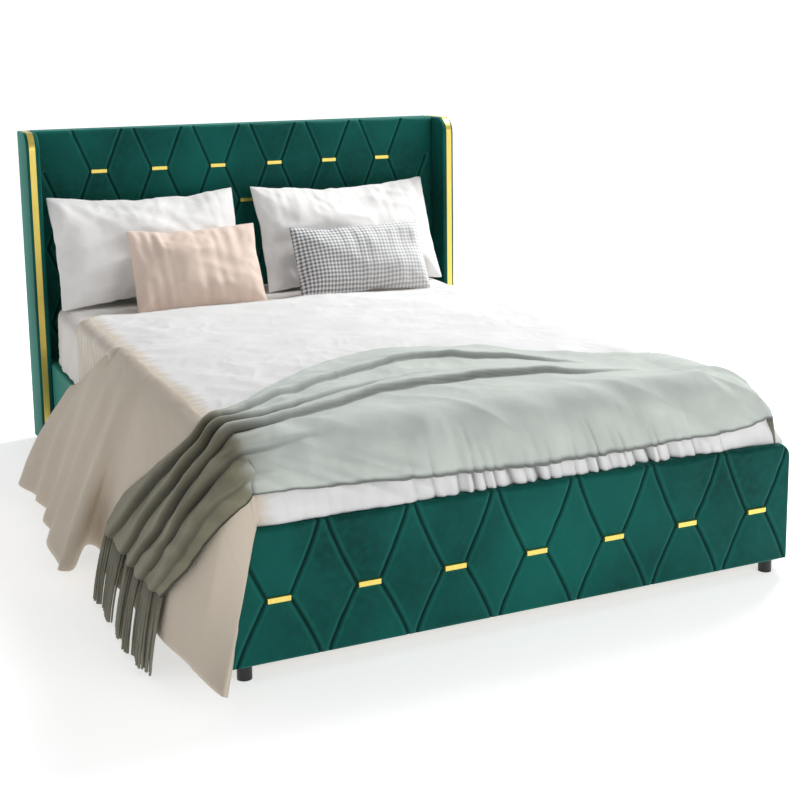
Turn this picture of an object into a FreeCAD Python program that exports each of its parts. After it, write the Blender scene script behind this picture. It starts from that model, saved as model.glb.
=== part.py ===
import FreeCAD, Part
import Sketcher
import math
import os
import re

# Upholstered headboard bed with wings, gold trim and a full set of bedding.
# +X is right and +Y is towards the headboard. The origin is on the floor, under
# the middle of the frame, at the bottom of the centre leg's foot. Millimetres.

DIMENSIONS = [
    # frame
    ("frame_width", 1400),
    ("frame_length", 2046),
    ("foot_height", 38),
    ("pitch", 200),
    # headboard
    ("head_height", 1016),
    ("head_bottom", 30),
    ("head_thick", 79),
    ("head_pad", 30),
    ("dust_cover", 4),
    ("wing_thick", 41),
    ("wing_reach", 165),
    ("wing_bottom", 10),
    ("wing_round", 56),
    ("strip_width", 18.7),
    ("strip_inset", 8),
    ("strip_sink", 2.5),
    ("strip_proud", 0.5),
    ("head_first_row", 881),
    ("head_row_step", 122),
    # footboard
    ("foot_end_height", 290),
    ("foot_end_pad", 34),
    ("foot_end_board", 18),
    ("foot_end_round", 33),
    ("foot_row", 175),
    # gold bars
    ("bar_long", 50),
    ("bar_tall", 11),
    ("bar_deep", 9),
    # side rails
    ("rail_bottom", 80),
    ("rail_top", 278),
    ("rail_board", 18),
    ("rail_pad", 18),
    ("ledge_wide", 30),
    ("ledge_tall", 30),
    # slats
    ("slat_thick", 18),
    ("slat_wide", 70),
    ("slat_first", 870),
    ("strap_wide", 25),
    ("strap_thick", 1.5),
    ("strap_side", 340),
    # centre beam, its legs and feet
    ("beam_wide", 50),
    ("beam_tall", 50),
    ("leg_wide", 40),
    ("leg_bottom", 30),
    ("leg_step", 600),
    ("stud_radius", 4),
    ("stud_play", 0.05),
    ("stud_long", 30),
    ("foot_radius", 16),
    ("pad_foot_radius", 20),
    ("pad_foot_tall", 12),
    ("glide_radius", 14),
    # steel brackets and bolts
    ("steel", 3),
    ("bracket_leg", 60),
    ("bracket_low", 110),
    ("bracket_tall", 90),
    ("bolt_radius", 4),
    ("bolt_head_radius", 8),
    ("bolt_head_tall", 4),
    # bedding
    ("rest_gap", 0.3),
    ("mattress_wide", 1372),
    ("mattress_long", 1900),
    ("mattress_thick", 190),
    ("mattress_round", 24),
    ("sheet_thick", 1.5),
    ("sheet_round", 25.5),
    ("sheet_hem", 6),
    ("duvet_thick", 26),
    ("duvet_gap", 1),
    ("duvet_head", 430),
    ("hem_height", 48),
    ("hem_thick", 26),
    ("throw_thick", 6),
    ("throw_head", 330),
    ("throw_hem", 130),
    ("throw_foot_hem", 365),
    ("fringe_drop", 60),
    ("pillow_lean", 27),
    ("pillow_thick", 140),
    ("pillow_round", 60),
    ("cushion_thick", 110),
    ("cushion_round", 48),
]

doc = FreeCAD.newDocument("upholstered_bed")
dims = doc.addObject("Spreadsheet::Sheet", "dims")
for row, (alias, number) in enumerate(DIMENSIONS, start=1):
    dims.set("A%d" % row, alias)
    dims.set("B%d" % row, str(number))
    dims.setAlias("B%d" % row, alias)
doc.recompute()

ALIASES = {alias for alias, number in DIMENSIONS}

# Places that several pieces share, as formulas of the sheet's cells.
HALF = "(frame_width / 2)"
FOOT_FACE = "(-frame_length / 2)"
HEAD_BACK = "(frame_length / 2)"
HEAD_FACE = "(frame_length / 2 - head_thick)"
FOOT_BACK = "(-frame_length / 2 + foot_end_pad + foot_end_board + dust_cover)"
INNER_LONG = "(frame_length - head_thick - foot_end_pad - foot_end_board - dust_cover)"
RAIL_INNER = "(frame_width / 2 - rail_board - rail_pad)"
SLAT_BOTTOM = "(rail_top - slat_thick)"
MATTRESS_FOOT = FOOT_BACK + " + 2"
MATTRESS_BOTTOM = "(rail_top + rest_gap)"
DUVET_BOTTOM = "(rail_top + rest_gap + mattress_thick + sheet_thick + duvet_gap)"
DUVET_TOP = "(%s + duvet_thick)" % DUVET_BOTTOM

sub_parts = []


def linked(formula):
    """The formula with each cell's name written as the sheet's own."""
    return re.sub(r"[a-z_]+", lambda word: "dims." + word.group(0) if word.group(0) in ALIASES
                  else word.group(0), str(formula))


def cell(alias):
    return float(dims.get(alias))


def bind(thing, path, formula):
    thing.setExpression(path, linked(formula))


def place(thing, corner):
    for axis, formula in zip("xyz", corner):
        bind(thing, ".Placement.Base." + axis, formula)


def keep(thing, label):
    """Make the object a sub-part: its label names its file."""
    thing.Label = label
    sub_parts.append(thing)
    return thing


def box(name, corner, size):
    block = doc.addObject("Part::Box", name)
    for path, formula in zip(("Length", "Width", "Height"), size):
        bind(block, path, formula)
    place(block, corner)
    return block


def cylinder(name, centre, radius, height, direction=None):
    rod = doc.addObject("Part::Cylinder", name)
    bind(rod, "Radius", radius)
    bind(rod, "Height", height)
    if direction is not None:
        rod.Placement.Rotation = FreeCAD.Rotation(FreeCAD.Vector(0, 0, 1), FreeCAD.Vector(*direction))
    place(rod, centre)
    return rod


def cut(name, base, tool):
    result = doc.addObject("Part::Cut", name)
    result.Base = base
    result.Tool = tool
    return result


def group(name, pieces):
    result = doc.addObject("Part::Compound", name)
    result.Links = pieces
    return result


def fused(name, pieces):
    result = doc.addObject("Part::MultiFuse", name)
    result.Shapes = pieces
    return result


def rounded(name, base, radius, wanted=None):
    """Fillet the edges whose middle passes the wanted test, or all of them."""
    doc.recompute()
    chosen = []
    for number, edge in enumerate(base.Shape.Edges, start=1):
        if wanted is None or wanted(edge.CenterOfMass):
            chosen.append((number, cell(radius), cell(radius)))
    result = doc.addObject("Part::Fillet", name)
    result.Base = base
    result.Edges = chosen
    return result


def origin_plane(body, role):
    return next(item for item in body.Origin.OriginFeatures if item.Role == role)


def section(body, name, across, corners):
    """A closed sketch of (x, z) corners on the body's XZ plane, moved along Y to `across`."""
    sketch = body.newObject("Sketcher::SketchObject", name)
    sketch.AttachmentSupport = [(origin_plane(body, "XZ_Plane"), "")]
    sketch.MapMode = "FlatFace"
    bind(sketch, ".AttachmentOffset.Base.z", "-(%s)" % across)
    count = len(corners)
    angles = [2 * math.pi * i / count for i in range(count)]
    start = [FreeCAD.Vector(10 * math.cos(angle), 10 * math.sin(angle), 0) for angle in angles]
    for i in range(count):
        sketch.addGeometry(Part.LineSegment(start[i], start[(i + 1) % count]), False)
    for i in range(count):
        sketch.addConstraint(Sketcher.Constraint("Coincident", i, 2, (i + 1) % count, 1))
    for i, (side, height) in enumerate(corners):
        for kind, formula, number in (("DistanceX", side, start[i].x), ("DistanceY", height, start[i].y)):
            index = sketch.addConstraint(Sketcher.Constraint(kind, -1, 1, i, 1, number))
            sketch.setExpression("Constraints[%d]" % index, linked(formula))
    return sketch


def ruled_body(name, sections):
    """A body lofted straight through sections given as (place along Y, corners)."""
    body = doc.addObject("PartDesign::Body", name)
    sketches = [section(body, "%s_section_%d" % (name, i), across, corners)
                for i, (across, corners) in enumerate(sections)]
    doc.recompute()
    loft = body.newObject("PartDesign::AdditiveLoft", name + "_loft")
    loft.Profile = sketches[0]
    loft.Sections = sketches[1:]
    loft.Ruled = True
    return body


SIDES = (("left", -1), ("right", 1))


def span(side, near, far):
    """The start and the length along X of a piece from near to far, on one side of the middle."""
    start = near if side > 0 else "-(%s)" % far
    return start, "(%s) - (%s)" % (far, near)


# ---------------------------------------------------------------- brackets and bolts

bolts = []
brackets = {}
ENDS = (("foot", FOOT_BACK, 1), ("head", HEAD_FACE, -1))
for side_name, side in SIDES:
    for end_name, wall, inward in ENDS:
        tag = "%s_%s" % (end_name, side_name)
        rail_start, rail_width = span(side, RAIL_INNER + " - steel", RAIL_INNER)
        leg_start, leg_width = span(side, RAIL_INNER + " - bracket_leg", RAIL_INNER)
        low = wall if inward > 0 else wall + " - bracket_leg"
        wall_low = wall if inward > 0 else wall + " - steel"
        on_rail = box("bracket_rail_" + tag, (rail_start, low, "bracket_low"),
                      (rail_width, "bracket_leg", "bracket_tall"))
        on_wall = box("bracket_wall_" + tag, (leg_start, wall_low, "bracket_low"),
                      (leg_width, "steel", "bracket_tall"))
        brackets[tag] = fused("bracket_blank_" + tag, [on_rail, on_wall])
        reach = "16" if inward > 0 else "head_pad + 14"
        for level in ("bracket_low + 22", "bracket_low + bracket_tall - 22"):
            at_wall = ("%d * (%s - 36)" % (side, RAIL_INNER), "%s + %d * steel" % (wall, inward), level)
            at_rail = ("%d * (%s - steel)" % (side, RAIL_INNER), "%s + %d * 36" % (wall, inward), level)
            number = len(bolts)
            bolts.append(fused("bolt_%d" % number, [
                cylinder("shank_%d" % number, at_wall, "bolt_radius", "steel + " + reach, (0, -inward, 0)),
                cylinder("head_%d" % number, at_wall, "bolt_head_radius", "bolt_head_tall",
                         (0, inward, 0))]))
            number = len(bolts)
            bolts.append(fused("bolt_%d" % number, [
                cylinder("shank_%d" % number, at_rail, "bolt_radius", "steel + 14", (side, 0, 0)),
                cylinder("head_%d" % number, at_rail, "bolt_head_radius", "bolt_head_tall",
                         (-side, 0, 0))]))
all_bolts = keep(group("all_bolts", bolts), "frame_bolts")
for tag, blank in brackets.items():
    keep(cut("bracket_" + tag, blank, all_bolts), "corner_bracket_" + tag)

# ---------------------------------------------------------------- headboard

panel_height = "head_height - head_bottom"
pad_blank = box("head_pad_blank", ("-" + HALF, HEAD_FACE, "head_bottom"),
                ("frame_width", "head_pad", panel_height))
keep(cut("head_pad_cut", pad_blank, all_bolts), "headboard_pad")
core_blank = box("head_core_blank", ("-" + HALF, HEAD_FACE + " + head_pad", "head_bottom"),
                 ("frame_width", "head_thick - head_pad - dust_cover", panel_height))
keep(cut("head_core_cut", core_blank, all_bolts), "headboard_core")
keep(box("head_dust", ("-" + HALF, HEAD_BACK + " - dust_cover", "head_bottom"),
         ("frame_width", "dust_cover", panel_height)), "headboard_dust_cover")

# Gold bars sit in pockets of the pad. Even rows are shifted by half a pitch.
BAR_ROWS = 4
row_bars = []
for row in range(BAR_ROWS):
    count = 6 + row % 2
    bars = []
    for i in range(count):
        across = "(%g) * pitch - bar_long / 2" % (i - (count - 1) / 2)
        height = "head_first_row - %d * head_row_step - bar_tall / 2" % row
        bars.append(box("head_bar_%d_%d" % (row, i), (across, HEAD_FACE + " - 2", height),
                        ("bar_long", "bar_deep", "bar_tall")))
    row_bars.append(keep(group("head_bars_%d" % row, bars), "headboard_bars_row_%d" % (row + 1)))
pad_cut = sub_parts[[part.Label for part in sub_parts].index("headboard_pad")]
sub_parts.remove(pad_cut)
pad_cut.Label = "headboard_pad_bolted"
keep(cut("head_pad_pocketed", pad_cut, group("head_bars_all", row_bars)), "headboard_pad")

# ---------------------------------------------------------------- wings and their gold strips

for side_name, side in SIDES:
    wing_start, wing_width = span(side, HALF, HALF + " + wing_thick")
    strip_near = HALF + " + wing_thick - strip_inset - strip_width"
    strip_start, strip_width = span(side, strip_near, HALF + " + wing_thick - strip_inset")
    wing_front = HEAD_BACK + " - wing_reach"
    layers = {}
    for layer, grow in (("wing", "0"), ("outer", "strip_proud"), ("inner", "-strip_sink")):
        start, width = (wing_start, wing_width) if layer == "wing" else (strip_start, strip_width)
        beyond = "1" if layer == "inner" else "0"
        blank = box("%s_blank_%s" % (layer, side_name),
                    (start, "%s - (%s)" % (wing_front, grow), "wing_bottom - " + beyond),
                    (width, "wing_reach + (%s) + %s" % (grow, beyond),
                     "head_height - wing_bottom + (%s) + %s" % (grow, beyond)))
        doc.recompute()
        front = blank.Shape.BoundBox.YMin
        top = blank.Shape.BoundBox.ZMax
        layers[layer] = rounded("%s_round_%s" % (layer, side_name), blank, "wing_round",
                                lambda p: abs(p.y - front) < 0.01 and abs(p.z - top) < 0.01)
    strip = keep(cut("strip_" + side_name, layers["outer"], layers["inner"]), "wing_strip_" + side_name)
    keep(cut("wing_cut_" + side_name, layers["wing"], strip), "wing_" + side_name)

glides = []
for side_name, side in SIDES:
    for along in ("wing_reach - 22", "22"):
        centre = ("%d * (%s + wing_thick / 2)" % (side, HALF), "%s - (%s)" % (HEAD_BACK, along), "0")
        glides.append(cylinder("glide_%d" % len(glides), centre, "glide_radius", "wing_bottom"))
keep(group("glides", glides), "headboard_glides")

# ---------------------------------------------------------------- footboard

foot_top = "foot_height + foot_end_height"
foot_bars = []
for i in range(7):
    corner = ("%d * pitch - bar_long / 2" % (i - 3), FOOT_FACE + " - 2", "foot_row - bar_tall / 2")
    foot_bars.append(box("foot_bar_%d" % i, corner, ("bar_long", "bar_deep", "bar_tall")))
foot_bar_row = keep(group("foot_bar_row", foot_bars), "footboard_bars")

corner_feet = []
sockets = []
for side_name, side in SIDES:
    centre_x = "%d * (%s - 35)" % (side, HALF)
    centre_y = FOOT_FACE + " + foot_end_pad + foot_end_board / 2"
    tread = cylinder("tread_" + side_name, (centre_x, centre_y, "0"), "foot_radius",
                     "foot_height - rest_gap")
    stud = cylinder("stud_" + side_name, (centre_x, centre_y, "foot_height - 1"), "stud_radius", "stud_long")
    corner_feet.append(keep(fused("corner_foot_" + side_name, [tread, stud]), "foot_front_" + side_name))
    sockets.append(cylinder("socket_" + side_name, (centre_x, centre_y, "foot_height - 1"),
                            "stud_radius + stud_play", "stud_long + 3"))

layer_start = FOOT_FACE
for layer, thick, label, tools in (
        ("foot_pad", "foot_end_pad", "footboard_pad", [foot_bar_row]),
        ("foot_board", "foot_end_board", "footboard_board", [all_bolts] + sockets),
        ("foot_dust", "dust_cover", "footboard_dust_cover", [all_bolts])):
    blank = box(layer + "_blank", ("-" + HALF, layer_start, "foot_height"),
                ("frame_width", thick, "foot_end_height"))
    doc.recompute()
    edge_x = blank.Shape.BoundBox.XMax
    edge_z = blank.Shape.BoundBox.ZMax
    shaped = rounded(layer + "_round", blank, "foot_end_round",
                     lambda p: abs(abs(p.x) - edge_x) < 0.01 and abs(p.z - edge_z) < 0.01)
    for number, tool in enumerate(tools):
        shaped = cut("%s_cut_%d" % (layer, number), shaped, tool)
    keep(shaped, label)
    layer_start = layer_start + " + " + thick

# ---------------------------------------------------------------- side rails and slat ledges

for side_name, side in SIDES:
    board_start, board_width = span(side, RAIL_INNER, HALF + " - rail_pad")
    board = box("rail_board_blank_" + side_name, (board_start, FOOT_BACK, "rail_bottom + 2"),
                (board_width, INNER_LONG, "rail_top - rail_bottom - 2"))
    keep(cut("rail_board_" + side_name, board, all_bolts), "rail_board_" + side_name)
    pad_start, pad_width = span(side, HALF + " - rail_pad", HALF)
    keep(box("rail_pad_" + side_name, (pad_start, FOOT_BACK, "rail_bottom"),
             (pad_width, INNER_LONG, "rail_top - rail_bottom")), "rail_cover_" + side_name)
    ledge_start, ledge_width = span(side, RAIL_INNER + " - ledge_wide", RAIL_INNER)
    keep(box("ledge_" + side_name, (ledge_start, FOOT_BACK + " + 8", SLAT_BOTTOM + " - ledge_tall"),
             (ledge_width, INNER_LONG + " - 16", "ledge_tall")), "slat_ledge_" + side_name)

# ---------------------------------------------------------------- centre beam, hangers, legs and feet

beam_low = SLAT_BOTTOM + " - beam_tall"
keep(box("beam", ("-beam_wide / 2", FOOT_BACK + " + steel", beam_low),
         ("beam_wide", INNER_LONG + " - 2 * steel", "beam_tall")), "centre_beam")
for end_name, wall, inward in ENDS:
    plate_low = wall if inward > 0 else wall + " - steel"
    lip_low = wall if inward > 0 else wall + " - 45"
    plate = box("hanger_plate_" + end_name, ("-beam_wide / 2 - 25", plate_low, beam_low + " - 20"),
                ("beam_wide + 50", "steel", "beam_tall + 15"))
    seat = box("hanger_seat_" + end_name, ("-beam_wide / 2 - steel", lip_low, beam_low + " - steel"),
               ("beam_wide + 2 * steel", "45", "steel"))
    cheeks = [box("hanger_cheek_%s_%s" % (end_name, side_name),
                  (span(side, "beam_wide / 2", "beam_wide / 2 + steel")[0], lip_low, beam_low + " - steel"),
                  ("steel", "45", "beam_tall - 5")) for side_name, side in SIDES]
    keep(fused("hanger_" + end_name, [plate, seat] + cheeks), "beam_hanger_" + end_name)

for leg_name, step in (("front", -1), ("middle", 0), ("rear", 1)):
    middle_y = "%d * leg_step" % step
    post = box("post_" + leg_name, ("-leg_wide / 2", middle_y + " - leg_wide / 2", "leg_bottom"),
               ("leg_wide", "leg_wide", beam_low + " - leg_bottom"))
    bore = cylinder("bore_" + leg_name, ("0", middle_y, "leg_bottom - 1"), "stud_radius + stud_play",
                    "stud_long + 6")
    keep(cut("leg_" + leg_name, post, bore), "centre_leg_" + leg_name)
    pad_foot = cylinder("pad_foot_" + leg_name, ("0", middle_y, "0"), "pad_foot_radius", "pad_foot_tall")
    screw = cylinder("screw_" + leg_name, ("0", middle_y, "pad_foot_tall - 1"), "stud_radius",
                     "leg_bottom - pad_foot_tall + stud_long")
    nut = cylinder("nut_" + leg_name, ("0", middle_y, "leg_bottom - 7"), "stud_radius * 2", "6")
    keep(fused("centre_foot_" + leg_name, [pad_foot, screw, nut]), "centre_foot_" + leg_name)

# ---------------------------------------------------------------- slats

SLATS = 12
for i in range(SLATS):
    centre_y = "-slat_first + %d * 2 * slat_first / %d" % (i, SLATS - 1)
    keep(box("slat_box_%d" % i, ("-%s + 1" % RAIL_INNER, centre_y + " - slat_wide / 2", SLAT_BOTTOM),
             ("2 * %s - 2" % RAIL_INNER, "slat_wide", "slat_thick")), "slat_%02d" % (i + 1))
straps = [box("strap_" + side_name,
              (span(side, "strap_side", "strap_side + strap_wide")[0], "-slat_first - slat_wide / 2",
               SLAT_BOTTOM + " - strap_thick"),
              ("strap_wide", "2 * slat_first + slat_wide", "strap_thick")) for side_name, side in SIDES]
keep(group("straps", straps), "slat_straps")

# ---------------------------------------------------------------- mattress and fitted sheet

mattress_blank = box("mattress_blank", ("-mattress_wide / 2", MATTRESS_FOOT, MATTRESS_BOTTOM),
                     ("mattress_wide", "mattress_long", "mattress_thick"))
mattress = keep(rounded("mattress_soft", mattress_blank, "mattress_round"), "mattress")
sheet_blank = box("sheet_blank", ("-mattress_wide / 2 - sheet_thick", MATTRESS_FOOT + " - sheet_thick",
                                  MATTRESS_BOTTOM + " - sheet_thick"),
                  ("mattress_wide + 2 * sheet_thick", "mattress_long + 2 * sheet_thick",
                   "mattress_thick + 2 * sheet_thick"))
sheet_outer = rounded("sheet_outer", sheet_blank, "sheet_round")
sheet_hollow = cut("sheet_hollow", sheet_outer, mattress)
below_hem = box("below_hem", ("-mattress_wide", MATTRESS_FOOT + " - 50", MATTRESS_BOTTOM + " - 50"),
                ("2 * mattress_wide", "mattress_long + 100", "50 + sheet_hem"))
keep(cut("sheet", sheet_hollow, below_hem), "fitted_sheet")

# ---------------------------------------------------------------- duvet, throw and fringe

duvet_side = "(mattress_wide / 2 + 4)"


def drape_corners(side, gap, skin, hem_side, hem_low, top_high):
    """An (x, z) quadrilateral from the mattress's edge out and down to a hem."""
    outer = "(%s + %s)" % (duvet_side, gap)
    return [("%d * %s" % (side, outer), top_high),
            ("%d * (%s)" % (side, hem_side), hem_low),
            ("%d * (%s - (%s))" % (side, hem_side, skin), hem_low),
            ("%d * %s" % (side, outer), "%s - duvet_thick" % top_high if gap == "0" else top_high + " - 20")]


def duvet_drape(side_name, side, hems):
    """A side drape with its hem's distance from the middle at each place along Y."""
    return ruled_body("duvet_drape_" + side_name, [
        (along, drape_corners(side, "0", "hem_thick", hem_side, "hem_height", DUVET_TOP))
        for along, hem_side in hems])


DUVET_FOOT = FOOT_BACK + " - 25"
slab = box("duvet_slab", ("-" + duvet_side, DUVET_FOOT, DUVET_BOTTOM),
           ("2 * " + duvet_side, "duvet_head - (%s)" % DUVET_FOOT, "duvet_thick"))
foot_roll = box("duvet_foot_roll", ("-%s + 10" % duvet_side, DUVET_FOOT, foot_top + " + 3"),
                ("2 * %s - 20" % duvet_side, "24", DUVET_TOP + " - (%s) - 3" % foot_top))
drapes = [duvet_drape("left", -1, [("duvet_head", "900"), ("-310", "909"), (DUVET_FOOT, "792")]),
          duvet_drape("right", 1, [("duvet_head", "840"), ("-310", "830"), (DUVET_FOOT, "780")])]
corner_flap = ruled_body("duvet_flap", [
    (DUVET_FOOT, drape_corners(-1, "0", "hem_thick", "792", "hem_height", DUVET_TOP)),
    (FOOT_FACE + " - 87", [("-735", "318"), ("-765", "hem_height"), ("-740", "hem_height"), ("-712", "312")])])
keep(fused("duvet_all", [slab, foot_roll] + drapes + [corner_flap]), "duvet")

THROW_LOW = "(%s + duvet_gap)" % DUVET_TOP
THROW_TOP = "(%s + duvet_gap + throw_thick)" % DUVET_TOP
THROW_HEAD = "-throw_head"
THROW_FOOT = FOOT_BACK + " - 26"
throw_outer = "(%s + 4)" % duvet_side
throw_top = box("throw_top", ("-" + throw_outer, THROW_FOOT + " - throw_thick", THROW_LOW),
                (throw_outer + " + " + duvet_side, "%s - (%s) + throw_thick" % (THROW_HEAD, THROW_FOOT),
                 "throw_thick"))
throw_foot = box("throw_foot", ("-%s + 10" % duvet_side, THROW_FOOT + " - throw_thick", "throw_foot_hem"),
                 ("2 * %s - 10" % duvet_side, "throw_thick", THROW_TOP + " - throw_foot_hem - 1"))


def slope(high):
    """How far the throw's outer face stands from the middle at a height, where the duvet hangs widest."""
    return ("(%s + throw_thick + (909 + 11 - %s) * (%s - (%s)) / (%s - hem_height))"
            % (throw_outer, throw_outer, THROW_TOP, high, THROW_TOP))


def side_strip(name, top_high, low_high):
    """A strip of the throw's left side between two heights, lying just outside the duvet's drape."""
    sections = []
    for along, swell in ((THROW_HEAD, "1"), ("-600", "0.83"), (THROW_FOOT, "0.5")):
        top_side, low_side = ("(%s + (%s - %s) * %s)" % (throw_outer, slope(high), throw_outer, swell)
                              for high in (top_high, low_high))
        sections.append((along, [("-%s" % top_side, top_high), ("-%s" % low_side, low_high),
                                 ("-(%s - throw_thick)" % low_side, low_high),
                                 ("-(%s - throw_thick)" % top_side, top_high)]))
    return ruled_body(name, sections)


throw_side = side_strip("throw_side", THROW_TOP, "throw_hem")
keep(fused("throw_all", [throw_top, throw_foot, throw_side]), "throw")
keep(side_strip("fringe_strip", "throw_hem", "throw_hem - fringe_drop"), "throw_fringe")

# ---------------------------------------------------------------- pillows and cushions


LEAN = math.radians(cell("pillow_lean"))
SHEET_LEVEL = cell("rail_top") + cell("rest_gap") + cell("mattress_thick") + cell("sheet_thick") + 0.5
HEAD_WALL = cell("frame_length") / 2 - cell("head_thick") - 6


def leaning(label, centre_x, wide, tall, thick, roundness, pillow=None):
    """A soft block leaning back on the headboard, or on the pillow given as (y, z, thickness).

    It stands on the sheet. Returns the block's own (y, z, thickness)."""
    blank = doc.addObject("Part::Box", label + "_blank")
    bind(blank, "Length", wide)
    bind(blank, "Width", thick)
    bind(blank, "Height", tall)
    soft = rounded(label + "_soft", blank, roundness)
    depth = cell(thick)
    corner = cell(roundness)
    along = tall / 2 - corner
    through = depth / 2 - corner
    middle_z = SHEET_LEVEL + corner + along * math.cos(LEAN) + through * math.sin(LEAN)
    if pillow is None:
        middle_y = HEAD_WALL - corner - along * math.sin(LEAN) - through * math.cos(LEAN)
    else:
        pillow_y, pillow_z, pillow_depth = pillow
        apart = (depth + pillow_depth) / 2 + 2
        slide = (middle_z - pillow_z - apart * math.sin(LEAN)) / math.cos(LEAN)
        middle_y = pillow_y - apart * math.cos(LEAN) + slide * math.sin(LEAN)
    turn = FreeCAD.Rotation(FreeCAD.Vector(1, 0, 0), -cell("pillow_lean"))
    half = FreeCAD.Vector(wide / 2, depth / 2, tall / 2)
    middle = FreeCAD.Vector(centre_x, middle_y, middle_z)
    soft.Placement = FreeCAD.Placement(middle - turn.multVec(half), turn)
    keep(soft, label)
    return middle_y, middle_z, depth


left_pillow = leaning("pillow_left", -377, 630, 400, "pillow_thick", "pillow_round")
right_pillow = leaning("pillow_right", 308, 650, 400, "pillow_thick", "pillow_round")
leaning("cushion_beige", -272, 430, 290, "cushion_thick", "cushion_round", left_pillow)
leaning("cushion_grey", 284, 474, 262, "cushion_thick", "cushion_round", right_pillow)

# ---------------------------------------------------------------- checks and files

doc.recompute()
for item in doc.Objects:
    if "Invalid" in item.State or "Error" in item.State:
        raise RuntimeError("%s: %s" % (item.Label, item.State))
os.makedirs("parts", exist_ok=True)
for part in sub_parts:
    if part.Shape.isNull() or not part.Shape.isValid():
        raise RuntimeError("bad shape: " + part.Label)
for part in sub_parts:
    part.Shape.exportStep("parts/%s.step" % part.Label)
print(len(sub_parts), "sub-parts written")
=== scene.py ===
import bmesh
import bpy
import math
import numpy as np
from mathutils import Matrix, Vector


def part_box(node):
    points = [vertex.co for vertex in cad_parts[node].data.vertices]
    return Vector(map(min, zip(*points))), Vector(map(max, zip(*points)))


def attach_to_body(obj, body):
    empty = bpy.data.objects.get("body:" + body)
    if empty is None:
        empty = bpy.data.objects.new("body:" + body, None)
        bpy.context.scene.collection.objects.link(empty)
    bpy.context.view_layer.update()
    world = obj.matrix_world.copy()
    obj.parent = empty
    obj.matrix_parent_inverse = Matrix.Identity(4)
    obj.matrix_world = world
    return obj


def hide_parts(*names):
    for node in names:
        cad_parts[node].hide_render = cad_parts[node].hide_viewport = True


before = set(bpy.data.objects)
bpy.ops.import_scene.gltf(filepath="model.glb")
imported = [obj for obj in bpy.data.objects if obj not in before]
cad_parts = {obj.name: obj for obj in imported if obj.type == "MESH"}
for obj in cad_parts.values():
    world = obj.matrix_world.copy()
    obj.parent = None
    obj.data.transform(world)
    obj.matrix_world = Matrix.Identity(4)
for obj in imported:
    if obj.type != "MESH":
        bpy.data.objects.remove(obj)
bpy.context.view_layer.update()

# Upholstered headboard bed. Metres, +Z up, +Y towards the headboard.

random_order = np.random.default_rng(11)

# ---- Places read from the frame

HEAD_PAD_LOW, HEAD_PAD_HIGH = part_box("headboard_pad")
FOOT_PAD_LOW, FOOT_PAD_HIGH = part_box("footboard_pad")
MATTRESS_LOW, MATTRESS_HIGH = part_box("mattress")
SHEET_TOP = MATTRESS_HIGH[2] + 0.002

# ---- Meshes


def add_object(name, points, faces, material=None):
    """An object with a smooth-shaded mesh."""
    mesh = bpy.data.meshes.new(name)
    mesh.from_pydata([tuple(map(float, point)) for point in points], [], faces)
    mesh.validate()
    mesh.update()
    mesh.polygons.foreach_set("use_smooth", [True] * len(mesh.polygons))
    if material:
        mesh.materials.append(material)
    obj = bpy.data.objects.new(name, mesh)
    bpy.context.scene.collection.objects.link(obj)
    return obj


def grid_faces(rows, columns, first=0, flip=False):
    """Quads of a rows by columns grid of vertices."""
    faces = []
    for i in range(rows - 1):
        for j in range(columns - 1):
            corner = first + i * columns + j
            quad = (corner, corner + 1, corner + columns + 1, corner + columns)
            faces.append(quad[::-1] if flip else quad)
    return faces


def tube_faces(rings, around, close_low=True, close_high=True):
    """Quads between rings of `around` vertices, and one face over each closed end."""
    faces = []
    for low in range(0, (rings - 1) * around, around):
        for i in range(around):
            after = (i + 1) % around
            faces.append((low + i, low + after, low + around + after, low + around + i))
    if close_low:
        faces.append(tuple(range(around))[::-1])
    if close_high:
        faces.append(tuple(range((rings - 1) * around, rings * around)))
    return faces


def vertex_places(obj):
    places = np.empty(len(obj.data.vertices) * 3)
    obj.data.vertices.foreach_get("co", places)
    return places.reshape(-1, 3)


def set_attribute(obj, name, values):
    """One number for each vertex, which the material reads."""
    attribute = obj.data.attributes.new(name, "FLOAT", "POINT")
    attribute.data.foreach_set("value", np.asarray(values, dtype=np.float32).ravel())


def set_uv(obj, uv_of_vertex):
    """A UV map in metres along the cloth, one pair for each vertex."""
    layer = obj.data.uv_layers.new(name="cloth")
    loops = np.empty(len(obj.data.loops), dtype=np.int64)
    obj.data.loops.foreach_get("vertex_index", loops)
    layer.data.foreach_set("uv", np.asarray(uv_of_vertex, dtype=np.float32)[loops].ravel())


def weld(obj, distance, turn_out=False):
    """Join vertices closer than the distance, and turn the faces outwards where asked."""
    work = bmesh.new()
    work.from_mesh(obj.data)
    bmesh.ops.remove_doubles(work, verts=work.verts, dist=distance)
    if turn_out:
        bmesh.ops.recalc_face_normals(work, faces=work.faces)
    work.to_mesh(obj.data)
    work.free()


def add_modifier(obj, kind, **settings):
    modifier = obj.modifiers.new(kind.lower(), kind)
    for key, value in settings.items():
        setattr(modifier, key, value)
    return modifier


def apply_modifiers(obj):
    graph = bpy.context.evaluated_depsgraph_get()
    mesh = bpy.data.meshes.new_from_object(obj.evaluated_get(graph))
    obj.modifiers.clear()
    obj.data = mesh
    obj.data.polygons.foreach_set("use_smooth", [True] * len(obj.data.polygons))


def attach(piece, body, node=None):
    """The piece moves with a body and may be shown instead of a CAD node."""
    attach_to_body(piece, body)
    if node:
        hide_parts(node)


# ---- Noise and curves


def as_grids(*values):
    return np.broadcast_arrays(*(np.asarray(value, dtype=float) for value in values))


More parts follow.
